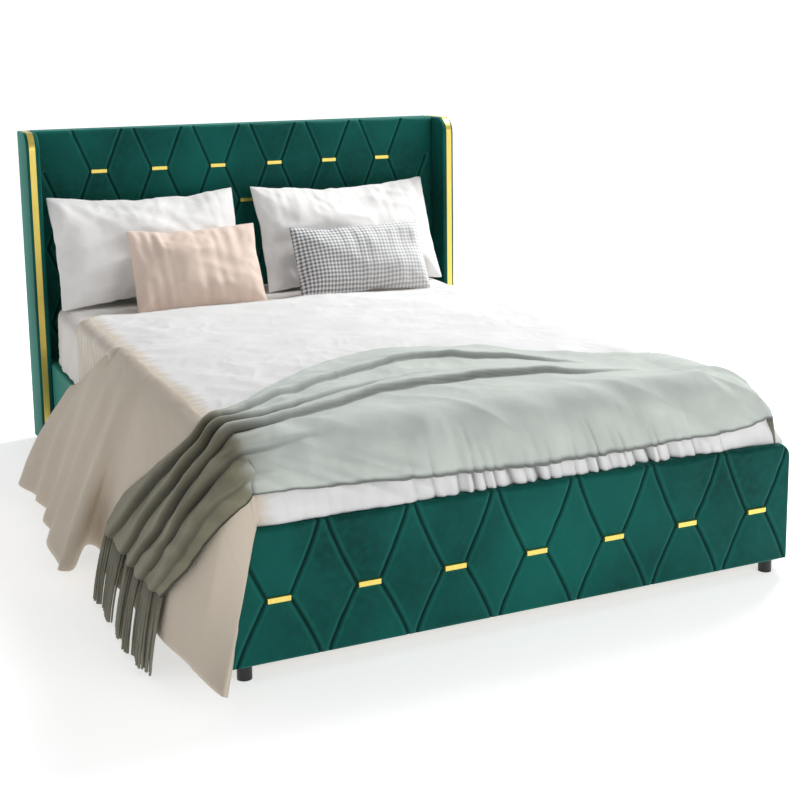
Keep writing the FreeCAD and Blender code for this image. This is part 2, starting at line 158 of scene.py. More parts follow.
def wave_noise(x, y, length, seed, waves=9):
    """A soft random field made of plane waves, about -1 to 1, with features of that length."""
    draws = np.random.default_rng(seed)
    total = np.zeros_like(np.asarray(x, dtype=float))
    for _ in range(waves):
        turn = draws.uniform(0, 2 * math.pi)
        scale = 2 * math.pi / (length * draws.uniform(0.7, 1.6))
        phase = draws.uniform(0, 2 * math.pi)
        total += np.sin(scale * (np.cos(turn) * x + np.sin(turn) * y) + phase)
    return total / math.sqrt(waves)


def noise(x, y, length, seed):
    """A soft random field without repeats, about -1 to 1, with features of that length."""
    cells = 64
    turns = np.random.default_rng(seed).uniform(0, 2 * math.pi, (cells, cells))
    along_x, along_y = np.cos(turns), np.sin(turns)
    x, y = as_grids(x, y)
    x, y = x / length + 20.3, y / length + 31.7
    i, j = np.floor(x).astype(int), np.floor(y).astype(int)
    fx, fy = x - i, y - j

    def corner(di, dj):
        row, column = (i + di) % cells, (j + dj) % cells
        return along_x[row, column] * (fx - di) + along_y[row, column] * (fy - dj)

    ease_x = fx**3 * (fx * (fx * 6 - 15) + 10)
    ease_y = fy**3 * (fy * (fy * 6 - 15) + 10)
    low = corner(0, 0) + (corner(1, 0) - corner(0, 0)) * ease_x
    high = corner(0, 1) + (corner(1, 1) - corner(0, 1)) * ease_x
    return 1.5 * (low + (high - low) * ease_y)


def creases(x, y, length, seed, turn=0.0, stretch=1.0):
    """Soft sharp-topped creases that wander and branch, from about -0.6 to 0.4."""
    u = (math.cos(turn) * x + math.sin(turn) * y) * stretch
    v = math.cos(turn) * y - math.sin(turn) * x
    bend_u = u + 0.45 * length * noise(u, v, 1.7 * length, seed + 1)
    bend_v = v + 0.45 * length * noise(u, v, 1.7 * length, seed + 2)
    ridge = np.sqrt(noise(bend_u, bend_v, length, seed) ** 2 + 0.0016)
    return 0.4 - np.minimum(ridge, 1.0)


def smooth_step(value, low, high):
    t = np.clip((value - low) / (high - low), 0, 1)
    return t * t * (3 - 2 * t)


def through_points(table, at):
    """A smooth curve through (parameter, value, value...) rows in rising order, read at many parameters."""
    table = np.asarray(table, dtype=float)
    keys = table[:, 0]
    values = table[:, 1:]
    slopes = np.gradient(values, keys, axis=0)
    at = np.clip(np.asarray(at, dtype=float), keys[0], keys[-1])
    k = np.clip(np.searchsorted(keys, at, side="right") - 1, 0, len(keys) - 2)
    width = keys[k + 1] - keys[k]
    t = ((at - keys[k]) / width)[..., None]
    width = width[..., None]
    a, b = values[k], values[k + 1]
    p, q = slopes[k] * width, slopes[k + 1] * width
    return ((2 * t**3 - 3 * t**2 + 1) * a + (t**3 - 2 * t**2 + t) * p
            + (3 * t**2 - 2 * t**3) * b + (t**3 - t**2) * q)


# ---- Materials


class Shading:
    """The nodes of a material or world. A method that adds nodes returns the socket of the result."""

    def __init__(self, owner, shader="Principled BSDF"):
        owner.use_nodes = True
        self.tree = owner.node_tree
        self.shader = self.tree.nodes[shader]

    def set(self, node, values):
        """Set or link inputs of a node, given by name or number."""
        for key, value in values.items():
            if isinstance(value, bpy.types.NodeSocket):
                self.tree.links.new(value, node.inputs[key])
            else:
                node.inputs[key].default_value = value

    def add(self, kind, values, output=0, **settings):
        node = self.tree.nodes.new("ShaderNode" + kind)
        for key, value in settings.items():
            setattr(node, key, value)
        self.set(node, values)
        return node.outputs[output]

    def paint(self, color):
        self.set(self.shader, {"Base Color": color})

    def place(self, source, scale=(1, 1, 1), turn=0.0):
        vector = self.add("TexCoord", {}, source)
        return self.add("Mapping", {"Vector": vector, "Scale": scale, "Rotation": (0, 0, turn)})

    def part(self, vector, axis):
        return self.add("SeparateXYZ", {0: vector}, axis)

    def attribute(self, name):
        return self.add("Attribute", {}, "Fac", attribute_name=name)

    def noise(self, vector, scale, detail=3.0):
        return self.add("TexNoise", {"Vector": vector, "Scale": scale, "Detail": detail}, "Fac")

    def patches(self, vector, scale, low, high, detail=3.0):
        """Noise with more contrast: 0 below low and 1 above high."""
        return self.ramp(self.noise(vector, scale, detail), low, high)

    def math(self, operation, *values):
        return self.add("Math", dict(enumerate(values)), operation=operation)

    def ramp(self, value, low, high, start=0.0, end=1.0):
        """From start, at low and below it, to end, at high and above it."""
        return self.add("MapRange", {"Value": value, "From Min": low, "From Max": high,
                                     "To Min": start, "To Max": end})

    def mix(self, factor, first, second):
        """A colour from first to second, each a colour or a socket."""
        first, second = ((*end, 1) if isinstance(end, tuple) else end for end in (first, second))
        return self.add("Mix", {0: factor, 6: first, 7: second}, 2, data_type="RGBA")

    def threads(self, vector, pitch):
        """Two crossing sets of threads, `pitch` metres apart, as a height from 0 to 1."""
        values = {"Vector": vector, "Scale": math.pi / (10 * pitch), "Distortion": 0.6, "Detail Scale": 3.0}
        waves = [self.add("TexWave", values, "Fac", wave_type="BANDS", bands_direction=direction)
                 for direction in ("X", "Y")]
        return self.math("MAXIMUM", *waves)

    def bump(self, height, strength, distance):
        """A bump on top of those that the surface has already."""
        values = {"Height": height, "Strength": strength, "Distance": distance}
        for link in self.shader.inputs["Normal"].links:
            values["Normal"] = link.from_socket
        self.set(self.shader, {"Normal": self.add("Bump", values)})


def new_material(name, rough, metal=0.0, sheen=0.0):
    material = bpy.data.materials.new(name)
    nodes = Shading(material)
    nodes.set(nodes.shader, {"Roughness": rough, "Metallic": metal, "Sheen Weight": sheen})
    return material, nodes


def cloth_material(name, color, shade, source="UV", pitch=0.0012, wrinkle=0.0):
    """Woven cloth: crossing threads, soft mottling between two colours and a little sheen."""
    material, nodes = new_material(name, 0.9, sheen=0.15)
    vector = nodes.place(source)
    nodes.paint(nodes.mix(nodes.patches(vector, 9.0, 0.3, 0.7), shade, color))
    if wrinkle:
        nodes.bump(nodes.noise(vector, 14.0, 5.0), wrinkle, 0.01)
    nodes.bump(nodes.threads(vector, pitch), 0.25, 0.0004)
    return material


def velvet_material():
    """Deep green velvet: patches where the nap lies lighter and darker, strong sheen, fine pile, with painted
    shade in the folds and a painted highlight on the lips beside them.
    """
    material, nodes = new_material("velvet_green", 0.62, sheen=0.6)
    vector = nodes.place("Object")
    patches = nodes.patches(vector, 3.2, 0.35, 0.68, 4.0)
    fine = nodes.patches(vector, 60.0, 0.35, 0.65, 2.0)
    broad = nodes.mix(patches, (0.0015, 0.05, 0.041), (0.004, 0.118, 0.096))
    speckle = nodes.mix(fine, (0.002, 0.076, 0.062), (0.003, 0.104, 0.086))
    nap = nodes.mix(nodes.math("MULTIPLY", fine, 0.35), broad, speckle)
    # A painted highlight on the lip beside each fold, then painted shade in the fold itself.
    nap_with_lip_highlight = nodes.mix(nodes.attribute("lip"), nap, (0.016, 0.175, 0.145))
    nodes.paint(nodes.mix(nodes.attribute("fold"), nap_with_lip_highlight, (0.0008, 0.01, 0.008)))
    nodes.set(nodes.shader, {"Sheen Roughness": 0.3, "Sheen Tint": (0.16, 0.72, 0.58, 1),
                             "Specular IOR Level": 0.1})
    nodes.bump(nodes.noise(vector, 28.0), 0.2, 0.003)
    nodes.bump(nodes.noise(vector, 900.0, 2.0), 0.35, 0.0006)
    return material


def gold_material():
    """Brushed gold-coloured metal."""
    material, nodes = new_material("gold_trim", 0.36, metal=0.9)
    streaks = nodes.patches(nodes.place("Object", (1, 1, 0.03)), 700.0, 0.3, 0.7)
    nodes.paint(nodes.mix(streaks, (0.78, 0.6, 0.13), (0.9, 0.72, 0.2)))
    nodes.bump(streaks, 0.08, 0.0003)
    return material


def wood_material(name, dark, light, grain_scale):
    """Wood with grain and fibres, which a small scale stretches along the board."""
    material, nodes = new_material(name, 0.55)
    vector = nodes.place("Object", grain_scale)
    grain = nodes.patches(vector, 6.0, 0.3, 0.7, 8.0)
    fibres = nodes.patches(vector, 60.0, 0.35, 0.65)
    nodes.paint(nodes.mix(nodes.math("MULTIPLY", fibres, 0.3), nodes.mix(grain, dark, light), dark))
    nodes.bump(fibres, 0.15, 0.0006)
    return material


def plain_material(name, color, rough, metal=0.0, grain=600.0):
    """A moulded or painted surface: even colour, with a fine grain in its colour and bump."""
    material, nodes = new_material(name, rough, metal)
    speck = nodes.noise(nodes.place("Object"), grain)
    darker = tuple(0.82 * part for part in color)
    nodes.paint(nodes.mix(nodes.ramp(speck, 0.35, 0.65), darker, color))
    nodes.bump(speck, 0.12, 0.0004)
    return material


def gingham_material(check=0.0125):
    """A fine grey and white check, softer towards one end."""
    material, nodes = new_material("gingham_grey", 0.9, sheen=0.1)
    vector = nodes.place("Object")
    bands = []
    for axis in ("X", "Z"):
        phase = nodes.math("FRACT", nodes.math("DIVIDE", nodes.part(vector, axis), check))
        bands.append(nodes.math("GREATER_THAN", phase, 0.5))
    level = nodes.math("MULTIPLY", nodes.math("ADD", *bands), 0.5)
    fade = nodes.ramp(nodes.part(vector, "X"), -0.22, 0.24, 1.0, 0.45)
    nodes.paint(nodes.mix(nodes.math("MULTIPLY", level, fade), (0.8, 0.8, 0.81), (0.12, 0.12, 0.13)))
    nodes.bump(nodes.threads(vector, 0.0013), 0.2, 0.0004)
    return material


def duvet_material():
    """White cotton, with painted shade: a warm grey-beige on the sides, which meets the white in a soft,
    streaky band at the shoulder, and grey in the valleys of the gathers at the foot.
    """
    material, nodes = new_material("duvet_cotton", 0.9, sheen=0.1)
    vector = nodes.place("UV")
    streaks = nodes.patches(nodes.place("UV", (1.2, 14, 1), 0.35), 4.0, 0.25, 0.75, 6.0)
    shift = nodes.math("MULTIPLY", nodes.math("SUBTRACT", streaks, 0.5), 0.5)
    # How much painted shade the sides get, with a streaky edge.
    side_shade_amount = nodes.ramp(nodes.math("ADD", nodes.attribute("painted_side_shade"), shift), 0.3, 0.7)
    white = nodes.mix(nodes.patches(vector, 7.0, 0.3, 0.7), (0.7, 0.7, 0.7), (0.77, 0.77, 0.77))
    # Painted shade in the valleys of the gathers at the foot end.
    white = nodes.mix(nodes.attribute("valley"), white, (0.24, 0.235, 0.23))
    # The warm grey-beige is painted shade on the duvet's sides.
    nodes.paint(nodes.mix(side_shade_amount, white, (0.63, 0.55, 0.45)))
    nodes.bump(nodes.noise(vector, 16.0, 6.0), 0.22, 0.008)
    nodes.bump(nodes.threads(vector, 0.0011), 0.2, 0.0004)
    return material


def throw_material():
    """A soft sage knit, with painted shade: darker and more olive towards its left end, and dark where it
    tucks under a fold and along its foot hem.
    """
    material, nodes = new_material("throw_knit", 0.92, sheen=0.12)
    vector = nodes.place("UV")
    left_shade = nodes.attribute("left_shade")
    mottled = nodes.patches(vector, 9.0, 0.3, 0.7)
    sage = nodes.mix(mottled, (0.49, 0.535, 0.5), (0.57, 0.615, 0.575))
    # The olive colour is the sage knit in painted shade.
    brown = nodes.mix(mottled, (0.19, 0.178, 0.12), (0.265, 0.25, 0.172))
    # Painted shade where the cloth tucks under a fold and along the foot hem.
    deep = nodes.mix(left_shade, (0.12, 0.13, 0.12), (0.022, 0.02, 0.014))
    nodes.paint(nodes.mix(nodes.attribute("tuck"), nodes.mix(left_shade, sage, brown), deep))
    nodes.bump(nodes.noise(vector, 120.0), 0.25, 0.002)
    nodes.bump(nodes.threads(vector, 0.0028), 0.3, 0.0006)
    return material


VELVET = velvet_material()
GOLD = gold_material()
FRAME_WOOD = wood_material("plywood", (0.3, 0.18, 0.09), (0.52, 0.36, 0.2), (9, 9, 1.2))
SLAT_WOOD = wood_material("slat_birch", (0.5, 0.34, 0.19), (0.68, 0.5, 0.31), (0.8, 12, 12))
DUST_COVER = plain_material("dust_cover_felt", (0.02, 0.02, 0.022), 0.95, grain=260.0)
BLACK_PLASTIC = plain_material("black_plastic", (0.012, 0.012, 0.013), 0.42)
BLACK_STEEL = plain_material("black_steel", (0.03, 0.03, 0.032), 0.38, 0.4, 350.0)
ZINC = plain_material("zinc_bolts", (0.55, 0.55, 0.56), 0.3, 1.0, 500.0)
WEBBING = cloth_material("webbing", (0.55, 0.52, 0.45), (0.45, 0.42, 0.36), "Object", 0.002)
MATTRESS_KNIT = cloth_material("mattress_knit", (0.78, 0.78, 0.77), (0.7, 0.7, 0.69), "Object", 0.0025)
SHEET_COTTON = cloth_material("sheet_cotton", (0.74, 0.71, 0.68), (0.69, 0.65, 0.62), wrinkle=0.12)
DUVET_COTTON = duvet_material()
THROW_KNIT = throw_material()
# The fringe yarn is the throw's sage as it looks in painted shade, at both ends.
FRINGE_YARN = cloth_material("fringe_yarn", (0.26, 0.25, 0.19), (0.16, 0.152, 0.11), "Object", 0.002)
PILLOW_COTTON = cloth_material("pillow_cotton", (0.86, 0.85, 0.845), (0.8, 0.79, 0.78), "Object", wrinkle=0.1)
BEIGE_COTTON = cloth_material("beige_cotton", (0.82, 0.67, 0.58), (0.74, 0.59, 0.5), "Object", wrinkle=0.08)
GINGHAM = gingham_material()

# CAD nodes by the start of their names, with the material and the bevel that they get.
NODE_LOOKS = (
    (("wing_strip",), GOLD, 0.0008),
    (("headboard_bars", "footboard_bars"), GOLD, 0.0012),
    (("wing_", "headboard_pad", "footboard_pad", "rail_cover"), VELVET, 0),
    (("headboard_dust", "footboard_dust"), DUST_COVER, 0),
    (("foot_front",), BLACK_PLASTIC, 0.002),
    (("centre_foot", "headboard_glides"), BLACK_PLASTIC, 0.0015),
    (("corner_bracket", "beam_hanger"), BLACK_STEEL, 0),
    (("frame_bolts",), ZINC, 0),
    (("slat_straps",), WEBBING, 0.002),
    (("headboard_core", "footboard_board", "rail_board"), FRAME_WOOD, 0),
    (("slat_ledge", "centre_beam", "centre_leg"), FRAME_WOOD, 0.002),
    (("slat_",), SLAT_WOOD, 0.002),
    (("mattress",), MATTRESS_KNIT, 0),
)
for node_name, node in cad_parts.items():
    for starts, material, bevel in NODE_LOOKS:
        if node_name.startswith(starts):
            node.data.materials.clear()
            node.data.materials.append(material)
            if bevel:
                add_modifier(node, "BEVEL", width=bevel, segments=2, limit_method="ANGLE", angle_limit=0.6)
            break

# ---- Tufted headboard and footboard

BARS_IN_ROW = 7
BAR_HALF = 0.025
PITCH = 0.2
WRAP_PROUD = 0.0012
FOLD_DEPTH = 0.01
FOLD_ROLL = 0.0125
CUSHION_RISE = 0.0035
CUSHION_REACH = 0.03
PANEL_EDGE = 0.014
PANEL_STEP = 0.0034
BAR_BACK = 0.0055
FOOT_CORNER = 0.033
CORNER_BLEND = 0.06


def bar_row(number, top_row_shift):
    """Middles along X of a row's gold bars. Every other row is shifted by half a pitch and has one less."""
    count = BARS_IN_ROW - (number + top_row_shift) % 2
    return [(k - (count - 1) / 2) * PITCH for k in range(count)]


def fold_lines(rows, top_row_shift, curve, low_edge, high_edge):
    """Folds of the upholstery as ((x, z), (x, z)) pieces, between rows of gold bars from the top down."""
    pieces = []
    for number, height in enumerate(rows):
        above = rows[number - 1] if number else high_edge
        below = rows[number + 1] if number + 1 < len(rows) else low_edge
        for middle in bar_row(number, top_row_shift):
            pieces.append(((middle - BAR_HALF, height), (middle + BAR_HALF, height)))
            for side in (-1, 1):
                for toward in (above, below):
                    pieces.extend(curve((middle + side * BAR_HALF, height), side, toward))
    return pieces


def bent_fold(start, side, toward):
    """A footboard fold: it runs out from the bar and turns upright near the edge."""
    points = [(start[0] + side * 0.066 * (1 - (1 - t) ** 1.18), start[1] + (toward - start[1]) * t)
              for t in np.linspace(0, 1, 8)]
    return list(zip(points[:-1], points[1:]))


def straight_fold(start, side, toward):
    """A headboard fold: it runs to the end of the nearest bar in the next row."""
    reach = (PITCH / 2 - 2 * BAR_HALF) * abs(toward - start[1]) / HEAD_ROW_STEP
    return [(start, (start[0] + side * reach, toward))]


def distance_to(pieces, x, z):
    nearest = np.full(x.shape, 1.0)
    for (x0, z0), (x1, z1) in pieces:
        dx, dz = x1 - x0, z1 - z0
        t = np.clip(((x - x0) * dx + (z - z0) * dz) / (dx * dx + dz * dz), 0, 1)
        nearest = np.minimum(nearest, np.hypot(x - x0 - t * dx, z - z0 - t * dz))
    return nearest


def edge_spacing(low, high):
    """Places from low to high: fine close to both ends, then PANEL_STEP apart."""
    fine = PANEL_EDGE * (1 - np.cos(np.linspace(0, math.pi / 2, 7)))[:-1]
    steps = max(2, int(round((high - low - 2 * PANEL_EDGE) / PANEL_STEP)))
    inner = np.linspace(low + PANEL_EDGE, high - PANEL_EDGE, steps + 1)
    return np.concatenate([low + fine, inner, high - fine[::-1]])


def tufted_panel(name, low, high, back, pieces, bars, corner=0.0):
    """A padded panel: puffed cells between folds, soft edges, and sides that wrap back to `back`."""
    x, z = np.meshgrid(edge_spacing(low[0], high[0]), edge_spacing(low[2], high[2]))
    reach = high[2] - corner
    if corner:
        drop = np.clip(z - reach, 0, corner)
        half_width = high[0] - corner + np.sqrt(np.maximum(corner**2 - drop**2, 0))
        inner = high[0] - CORNER_BLEND
        outside = np.maximum(np.abs(x) - inner, 0) / CORNER_BLEND
        x = np.where(np.abs(x) > inner, np.sign(x) * (inner + outside * (half_width - inner)), x)
    near = distance_to(pieces, x, z)
    into_roll = np.clip(1 - near / FOLD_ROLL, 0, 0.995)
    depth = CUSHION_RISE * np.exp(-near / CUSHION_REACH)
    depth += FOLD_DEPTH * (1 - np.sqrt(1 - into_roll**2))
    depth += 0.0008 * wave_noise(x, z, 0.05, 3) * np.exp(-near / 0.03)
    depth += 0.0006 * (1 + wave_noise(x, z, 0.12, 4))
    for bar_x, bar_z in bars:
        at_bar = (np.abs(x - bar_x) < BAR_HALF + 0.004) & (np.abs(z - bar_z) < 0.01)
        depth = np.where(at_bar, np.minimum(depth, BAR_BACK), depth)
    gap = np.minimum(np.minimum(np.abs(x - low[0]), np.abs(high[0] - x)), np.minimum(z - low[2], high[2] - z))
    if corner:
        centre_x = high[0] - corner
        from_arc = corner - np.hypot(np.abs(x) - centre_x, z - reach)
        gap = np.where((np.abs(x) > centre_x) & (z > reach), np.maximum(from_arc, 0), gap)
    rim = np.clip(1 - gap / PANEL_EDGE, 0, 1)
    depth = np.maximum(depth, PANEL_EDGE * (1 - np.sqrt(1 - rim**2)))
    rows, columns = x.shape
    front = np.stack([x, low[1] + depth, z], axis=-1).reshape(-1, 3)
    numbers = np.arange(rows * columns).reshape(rows, columns)
    border = np.concatenate([numbers[0], numbers[1:, -1], numbers[-1, -2::-1], numbers[-2:0:-1, 0]]).tolist()
    rim_points = front[border]
    rim_points[:, 1] = back
    rim_points[:, 0] *= 1 + WRAP_PROUD / high[0]
    middle_z = (low[2] + high[2]) / 2
    rim_points[:, 2] = middle_z + (rim_points[:, 2] - middle_z) * (1 + 2 * WRAP_PROUD / (high[2] - low[2]))
    count = len(border)
    first = len(front)
    faces = grid_faces(rows, columns)
    for k in range(count):
        after = (k + 1) % count
        faces.append((border[k], first + k, first + after, border[after]))
    faces.append(tuple(range(first, first + count))[::-1])
    obj = add_object(name, np.concatenate([front, rim_points]), faces, VELVET)
    # Painted shade in each fold and a painted highlight on the lip beside it, which the velvet reads as
    # colour.
    fold_shade = 0.95 * np.exp(-(near / 0.003) ** 2)
    lip_highlight = 0.4 * np.exp(-((near - 0.0075) / 0.0035) ** 2)
    for label, share in (("fold", fold_shade), ("lip", lip_highlight)):
        set_attribute(obj, label, np.concatenate([share.ravel(), np.zeros(count)]))
    obj.data.polygons[-1].use_smooth = False
    return obj


def middle_height(node):
    low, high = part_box(node)
    return (low[2] + high[2]) / 2


HEAD_ROWS = [middle_height("headboard_bars_row_%d" % number) for number in (1, 2, 3, 4)]
HEAD_ROW_STEP = HEAD_ROWS[0] - HEAD_ROWS[1]
HEAD_BARS = [(x, height) for number, height in enumerate(HEAD_ROWS) for x in bar_row(number, 1)]
HEAD_ROWS += [HEAD_ROWS[-1] - HEAD_ROW_STEP * k for k in (1, 2, 3)]
FOOT_ROW = middle_height("footboard_bars")
FOOT_BARS = [(x, FOOT_ROW) for x in bar_row(0, 0)]
head_pad = tufted_panel("headboard_upholstery", HEAD_PAD_LOW, HEAD_PAD_HIGH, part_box("headboard_core")[1][1],
                        fold_lines(HEAD_ROWS, 1, straight_fold, HEAD_PAD_LOW[2], HEAD_PAD_HIGH[2]), HEAD_BARS)
foot_pad = tufted_panel("footboard_upholstery", FOOT_PAD_LOW, FOOT_PAD_HIGH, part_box("footboard_board")[1][1],
                        fold_lines([FOOT_ROW], 0, bent_fold, FOOT_PAD_LOW[2], FOOT_PAD_HIGH[2]), FOOT_BARS,
                        FOOT_CORNER)
attach(head_pad, "frame", "headboard_pad")
attach(foot_pad, "frame", "footboard_pad")

# ---- Padded wings and rail covers

WING_CORNER = 0.056
BOARD_EDGE = 0.006


def padded_board(name, outline, low_x, high_x, edge=BOARD_EDGE):
    """A board of constant width in X with an outline of (y, z) corners and rounded edges."""
    outline = np.asarray(outline, dtype=float)
    along = np.roll(outline, -1, axis=0) - np.roll(outline, 1, axis=0)
    along /= np.linalg.norm(along, axis=1)[:, None]
    inward = np.stack([-along[:, 1], along[:, 0]], axis=1)
    rings = [(low_x + edge * (1 - math.sin(angle)), edge * (1 - math.cos(angle)))
             for angle in np.linspace(math.pi / 2, 0, 6)]
    rings += [(low_x + high_x - x, inset) for x, inset in rings[::-1]]
    points = [(x, y, z) for x, inset in rings for y, z in outline + inward * inset]
    return add_object(name, points, tube_faces(len(rings), len(outline)), VELVET)


def wing_outline(low, high, corner):
    """The wing from the side, anticlockwise as seen from +X, with a rounded top front corner."""
    points = [(y, low[2]) for y in np.linspace(low[1], high[1], 5)]
    points += [(high[1], z) for z in np.linspace(low[2], high[2], 9)[1:]]
    points += [(low[1] + corner - corner * math.sin(a), high[2] - corner + corner * math.cos(a))
               for a in np.linspace(0, math.pi / 2, 11)]
    points += [(low[1], z) for z in np.linspace(high[2] - corner, low[2], 9)[1:-1]]
    return points


def box_outline(low, high):
    """The corners of a box from the side."""
    return [(low[1], low[2]), (high[1], low[2]), (high[1], high[2]), (low[1], high[2])]


for side in ("left", "right"):
    low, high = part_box("wing_" + side)
    wing = padded_board("wing_upholstery_" + side, wing_outline(low, high, WING_CORNER), low[0], high[0])
    attach(wing, "frame", "wing_" + side)
    low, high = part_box("rail_cover_" + side)
    rail = padded_board("rail_upholstery_" + side, box_outline(low, high), low[0], high[0])
    attach(rail, "frame", "rail_cover_" + side)
    board_low, board_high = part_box("rail_board_" + side)
    wrap_low, wrap_high = (0, low[1], high[2] - 0.0005), (0, high[1], high[2] + 0.0006)
    low_x = min(board_low[0], low[0] + BOARD_EDGE)
    high_x = max(board_high[0], high[0] - BOARD_EDGE)
    wrap = padded_board("rail_wrap_" + side, box_outline(wrap_low, wrap_high), low_x, high_x, 0.0002)
    attach(wrap, "frame")

# ---- Mattress and fitted sheet

SHEET_SIDE = MATTRESS_HIGH[0] + 0.003
AROUND = 260
ANGLE = np.linspace(0, 2 * math.pi, AROUND, endpoint=False)
SIDEWAYS, LENGTHWAYS = np.cos(ANGLE), np.sin(ANGLE)
CORNER_POWER = 14 - 7 * smooth_step(SIDEWAYS - LENGTHWAYS, 0.85, 1.35)
BED_SHAPE = (np.abs(SIDEWAYS) ** CORNER_POWER + np.abs(LENGTHWAYS) ** CORNER_POWER) ** (-1 / CORNER_POWER)
# The top edge is rounded more on the right and at the right foot corner, where the bedding sags over it.
EDGE_ROUND = 0.04 + 0.105 * smooth_step(SIDEWAYS - 0.35 * LENGTHWAYS, 0.15, 0.75)
MIDDLE_Y = (MATTRESS_LOW[1] + MATTRESS_HIGH[1]) / 2
HALF_LONG = (MATTRESS_HIGH[1] - MATTRESS_LOW[1]) / 2


def bed_ring(half_x, half_y, inset, z):
    """A ring of points round the bed, each moved in by its own inset."""
    x = (half_x - inset) * SIDEWAYS * BED_SHAPE
    y = (half_y - inset) * LENGTHWAYS * BED_SHAPE
    return np.stack([x, MIDDLE_Y + y, z + 0 * x], axis=-1)


def ring_body(name, rings, material, close_low):
    """Rings from low to high joined into a surface."""
    faces = tube_faces(len(rings), AROUND, close_low)
    return add_object(name, np.concatenate(rings), faces, material)


def quilted_mattress():
    """A mattress with rounded edges, a quilted border and a cord at its lower rim."""
    low, high = MATTRESS_LOW[2], MATTRESS_HIGH[2]
    half_x, half_y = MATTRESS_HIGH[0], HALF_LONG
    rim = ((0.3, 0), (0.12, 0), (0.03, 0), (0.012, 0.001), (0.004, 0.004), (0.0, 0.01), (0.002, 0.016),
           (0.007, 0.019))
    rings = [bed_ring(half_x, half_y, inset, low + up) for inset, up in rim]
    border_low = low + 0.022
    for t in np.linspace(0, 1, 19):
        quilt = 0.001 + 0.006 * (1 - abs(math.sin(math.pi * t * 3)))
        rings.append(bed_ring(half_x, half_y, quilt, border_low + t * (high - EDGE_ROUND - border_low)))
    for turn in np.linspace(0.15, math.pi / 2, 9):
        rings.append(bed_ring(half_x, half_y, EDGE_ROUND * (1 - math.cos(turn)) + 0.001,
                              high - EDGE_ROUND + EDGE_ROUND * math.sin(turn)))
    rings.append(bed_ring(half_x, half_y, 0.3, high))
    mattress = ring_body("mattress_body", rings, MATTRESS_KNIT, True)
    attach(mattress, "mattress", "mattress")


def fitted_sheet():
    """A stretched sheet: rings from the hem beside the rails up to the middle of the top."""
    half_x, half_y = SHEET_SIDE, HALF_LONG + 0.002
    bottom = MATTRESS_LOW[2] + 0.006
    round_out = EDGE_ROUND + 0.002
    rings = []
    along = np.where(np.abs(SIDEWAYS) * half_y > np.abs(LENGTHWAYS) * half_x,
                     half_y * LENGTHWAYS * BED_SHAPE, half_x * SIDEWAYS * BED_SHAPE)
    for t in np.linspace(0, 1, 18):
        pull = 0.0026 * np.sin(along * 88 + 3 * np.sin(along * 13))
        pull += 0.003 * noise(along, t, 0.06, 24)
        pull = np.maximum((1 - t) * pull, -0.001)
        rings.append(bed_ring(half_x, half_y, -pull, bottom + t * (SHEET_TOP - round_out - bottom)))
    for turn in np.linspace(0, math.pi / 2, 9)[1:]:
        rings.append(bed_ring(half_x, half_y, round_out * (1 - math.cos(turn)),
                              SHEET_TOP - round_out + round_out * math.sin(turn)))
    rim = rings[-1]
    for share in np.linspace(1, 0, 60)[1:-1]:
        ring = rim.copy()
        ring[:, 0] *= share
        ring[:, 1] = MIDDLE_Y + (rim[:, 1] - MIDDLE_Y) * share
        height = (0.0016 * noise(ring[:, 0], ring[:, 1], 0.16, 21)
                  + 0.003 * creases(ring[:, 0], ring[:, 1], 0.13, 22, turn=0.5, stretch=0.5))
        ring[:, 2] += np.maximum(height, -0.0005) * smooth_step(1 - share, 0, 0.08)
        rings.append(ring)
    sheet = ring_body("fitted_sheet_cloth", rings, SHEET_COTTON, False)
    points = np.concatenate(rings)
    set_uv(sheet, np.stack([points[:, 0], points[:, 1] + points[:, 2]], axis=1))
    attach(sheet, "mattress", "fitted_sheet")


quilted_mattress()
fitted_sheet()

# ---- Duvet

TOP_Z = 0.5
EDGE = 0.665
HEAD_EDGE = 0.43
FOOT_START = -0.935
FOOT_END = -1.15
DRAPE_LENGTH = 0.55
GATHER_PITCH = 0.036

# The drapes: each row is a place along the bed and a point there, or only X at the right drape's top.
LEFT_TOP = [
    (-1.15, -0.64, -1.005, 0.338), (-1.06, -0.655, -1.004, 0.425), (-0.935, -0.665, -0.935, 0.5),
    (-0.6, -0.665, -0.6, 0.5), (-0.2, -0.665, -0.2, 0.5), (0.0, -0.666, 0.0, 0.499),
    (0.06, -0.704, 0.05, 0.468), (0.12, -0.712, 0.13, 0.425), (0.22, -0.717, 0.24, 0.37),
    (0.4, -0.722, 0.43, 0.3)]
LEFT_HIGH = [
    (-1.15, -0.655, -1.05, 0.345), (-1.06, -0.7, -1.025, 0.44), (-0.935, -0.712, -0.942, 0.492),
    (-0.6, -0.715, -0.6, 0.492), (-0.2, -0.715, -0.2, 0.49), (0.02, -0.712, 0.03, 0.47),
    (0.09, -0.735, 0.11, 0.415), (0.25, -0.75, 0.26, 0.345), (0.4, -0.768, 0.4, 0.28)]
LEFT_LOW = [
    (-1.15, -0.69, -1.062, 0.18), (-1.06, -0.755, -1.045, 0.25), (-0.935, -0.77, -0.955, 0.27),
    (-0.6, -0.79, -0.6, 0.27), (-0.45, -0.79, -0.42, 0.27), (-0.3, -0.815, -0.3, 0.26),
    (-0.1, -0.815, -0.1, 0.25), (0.15, -0.82, 0.17, 0.23), (0.4, -0.84, 0.4, 0.17)]
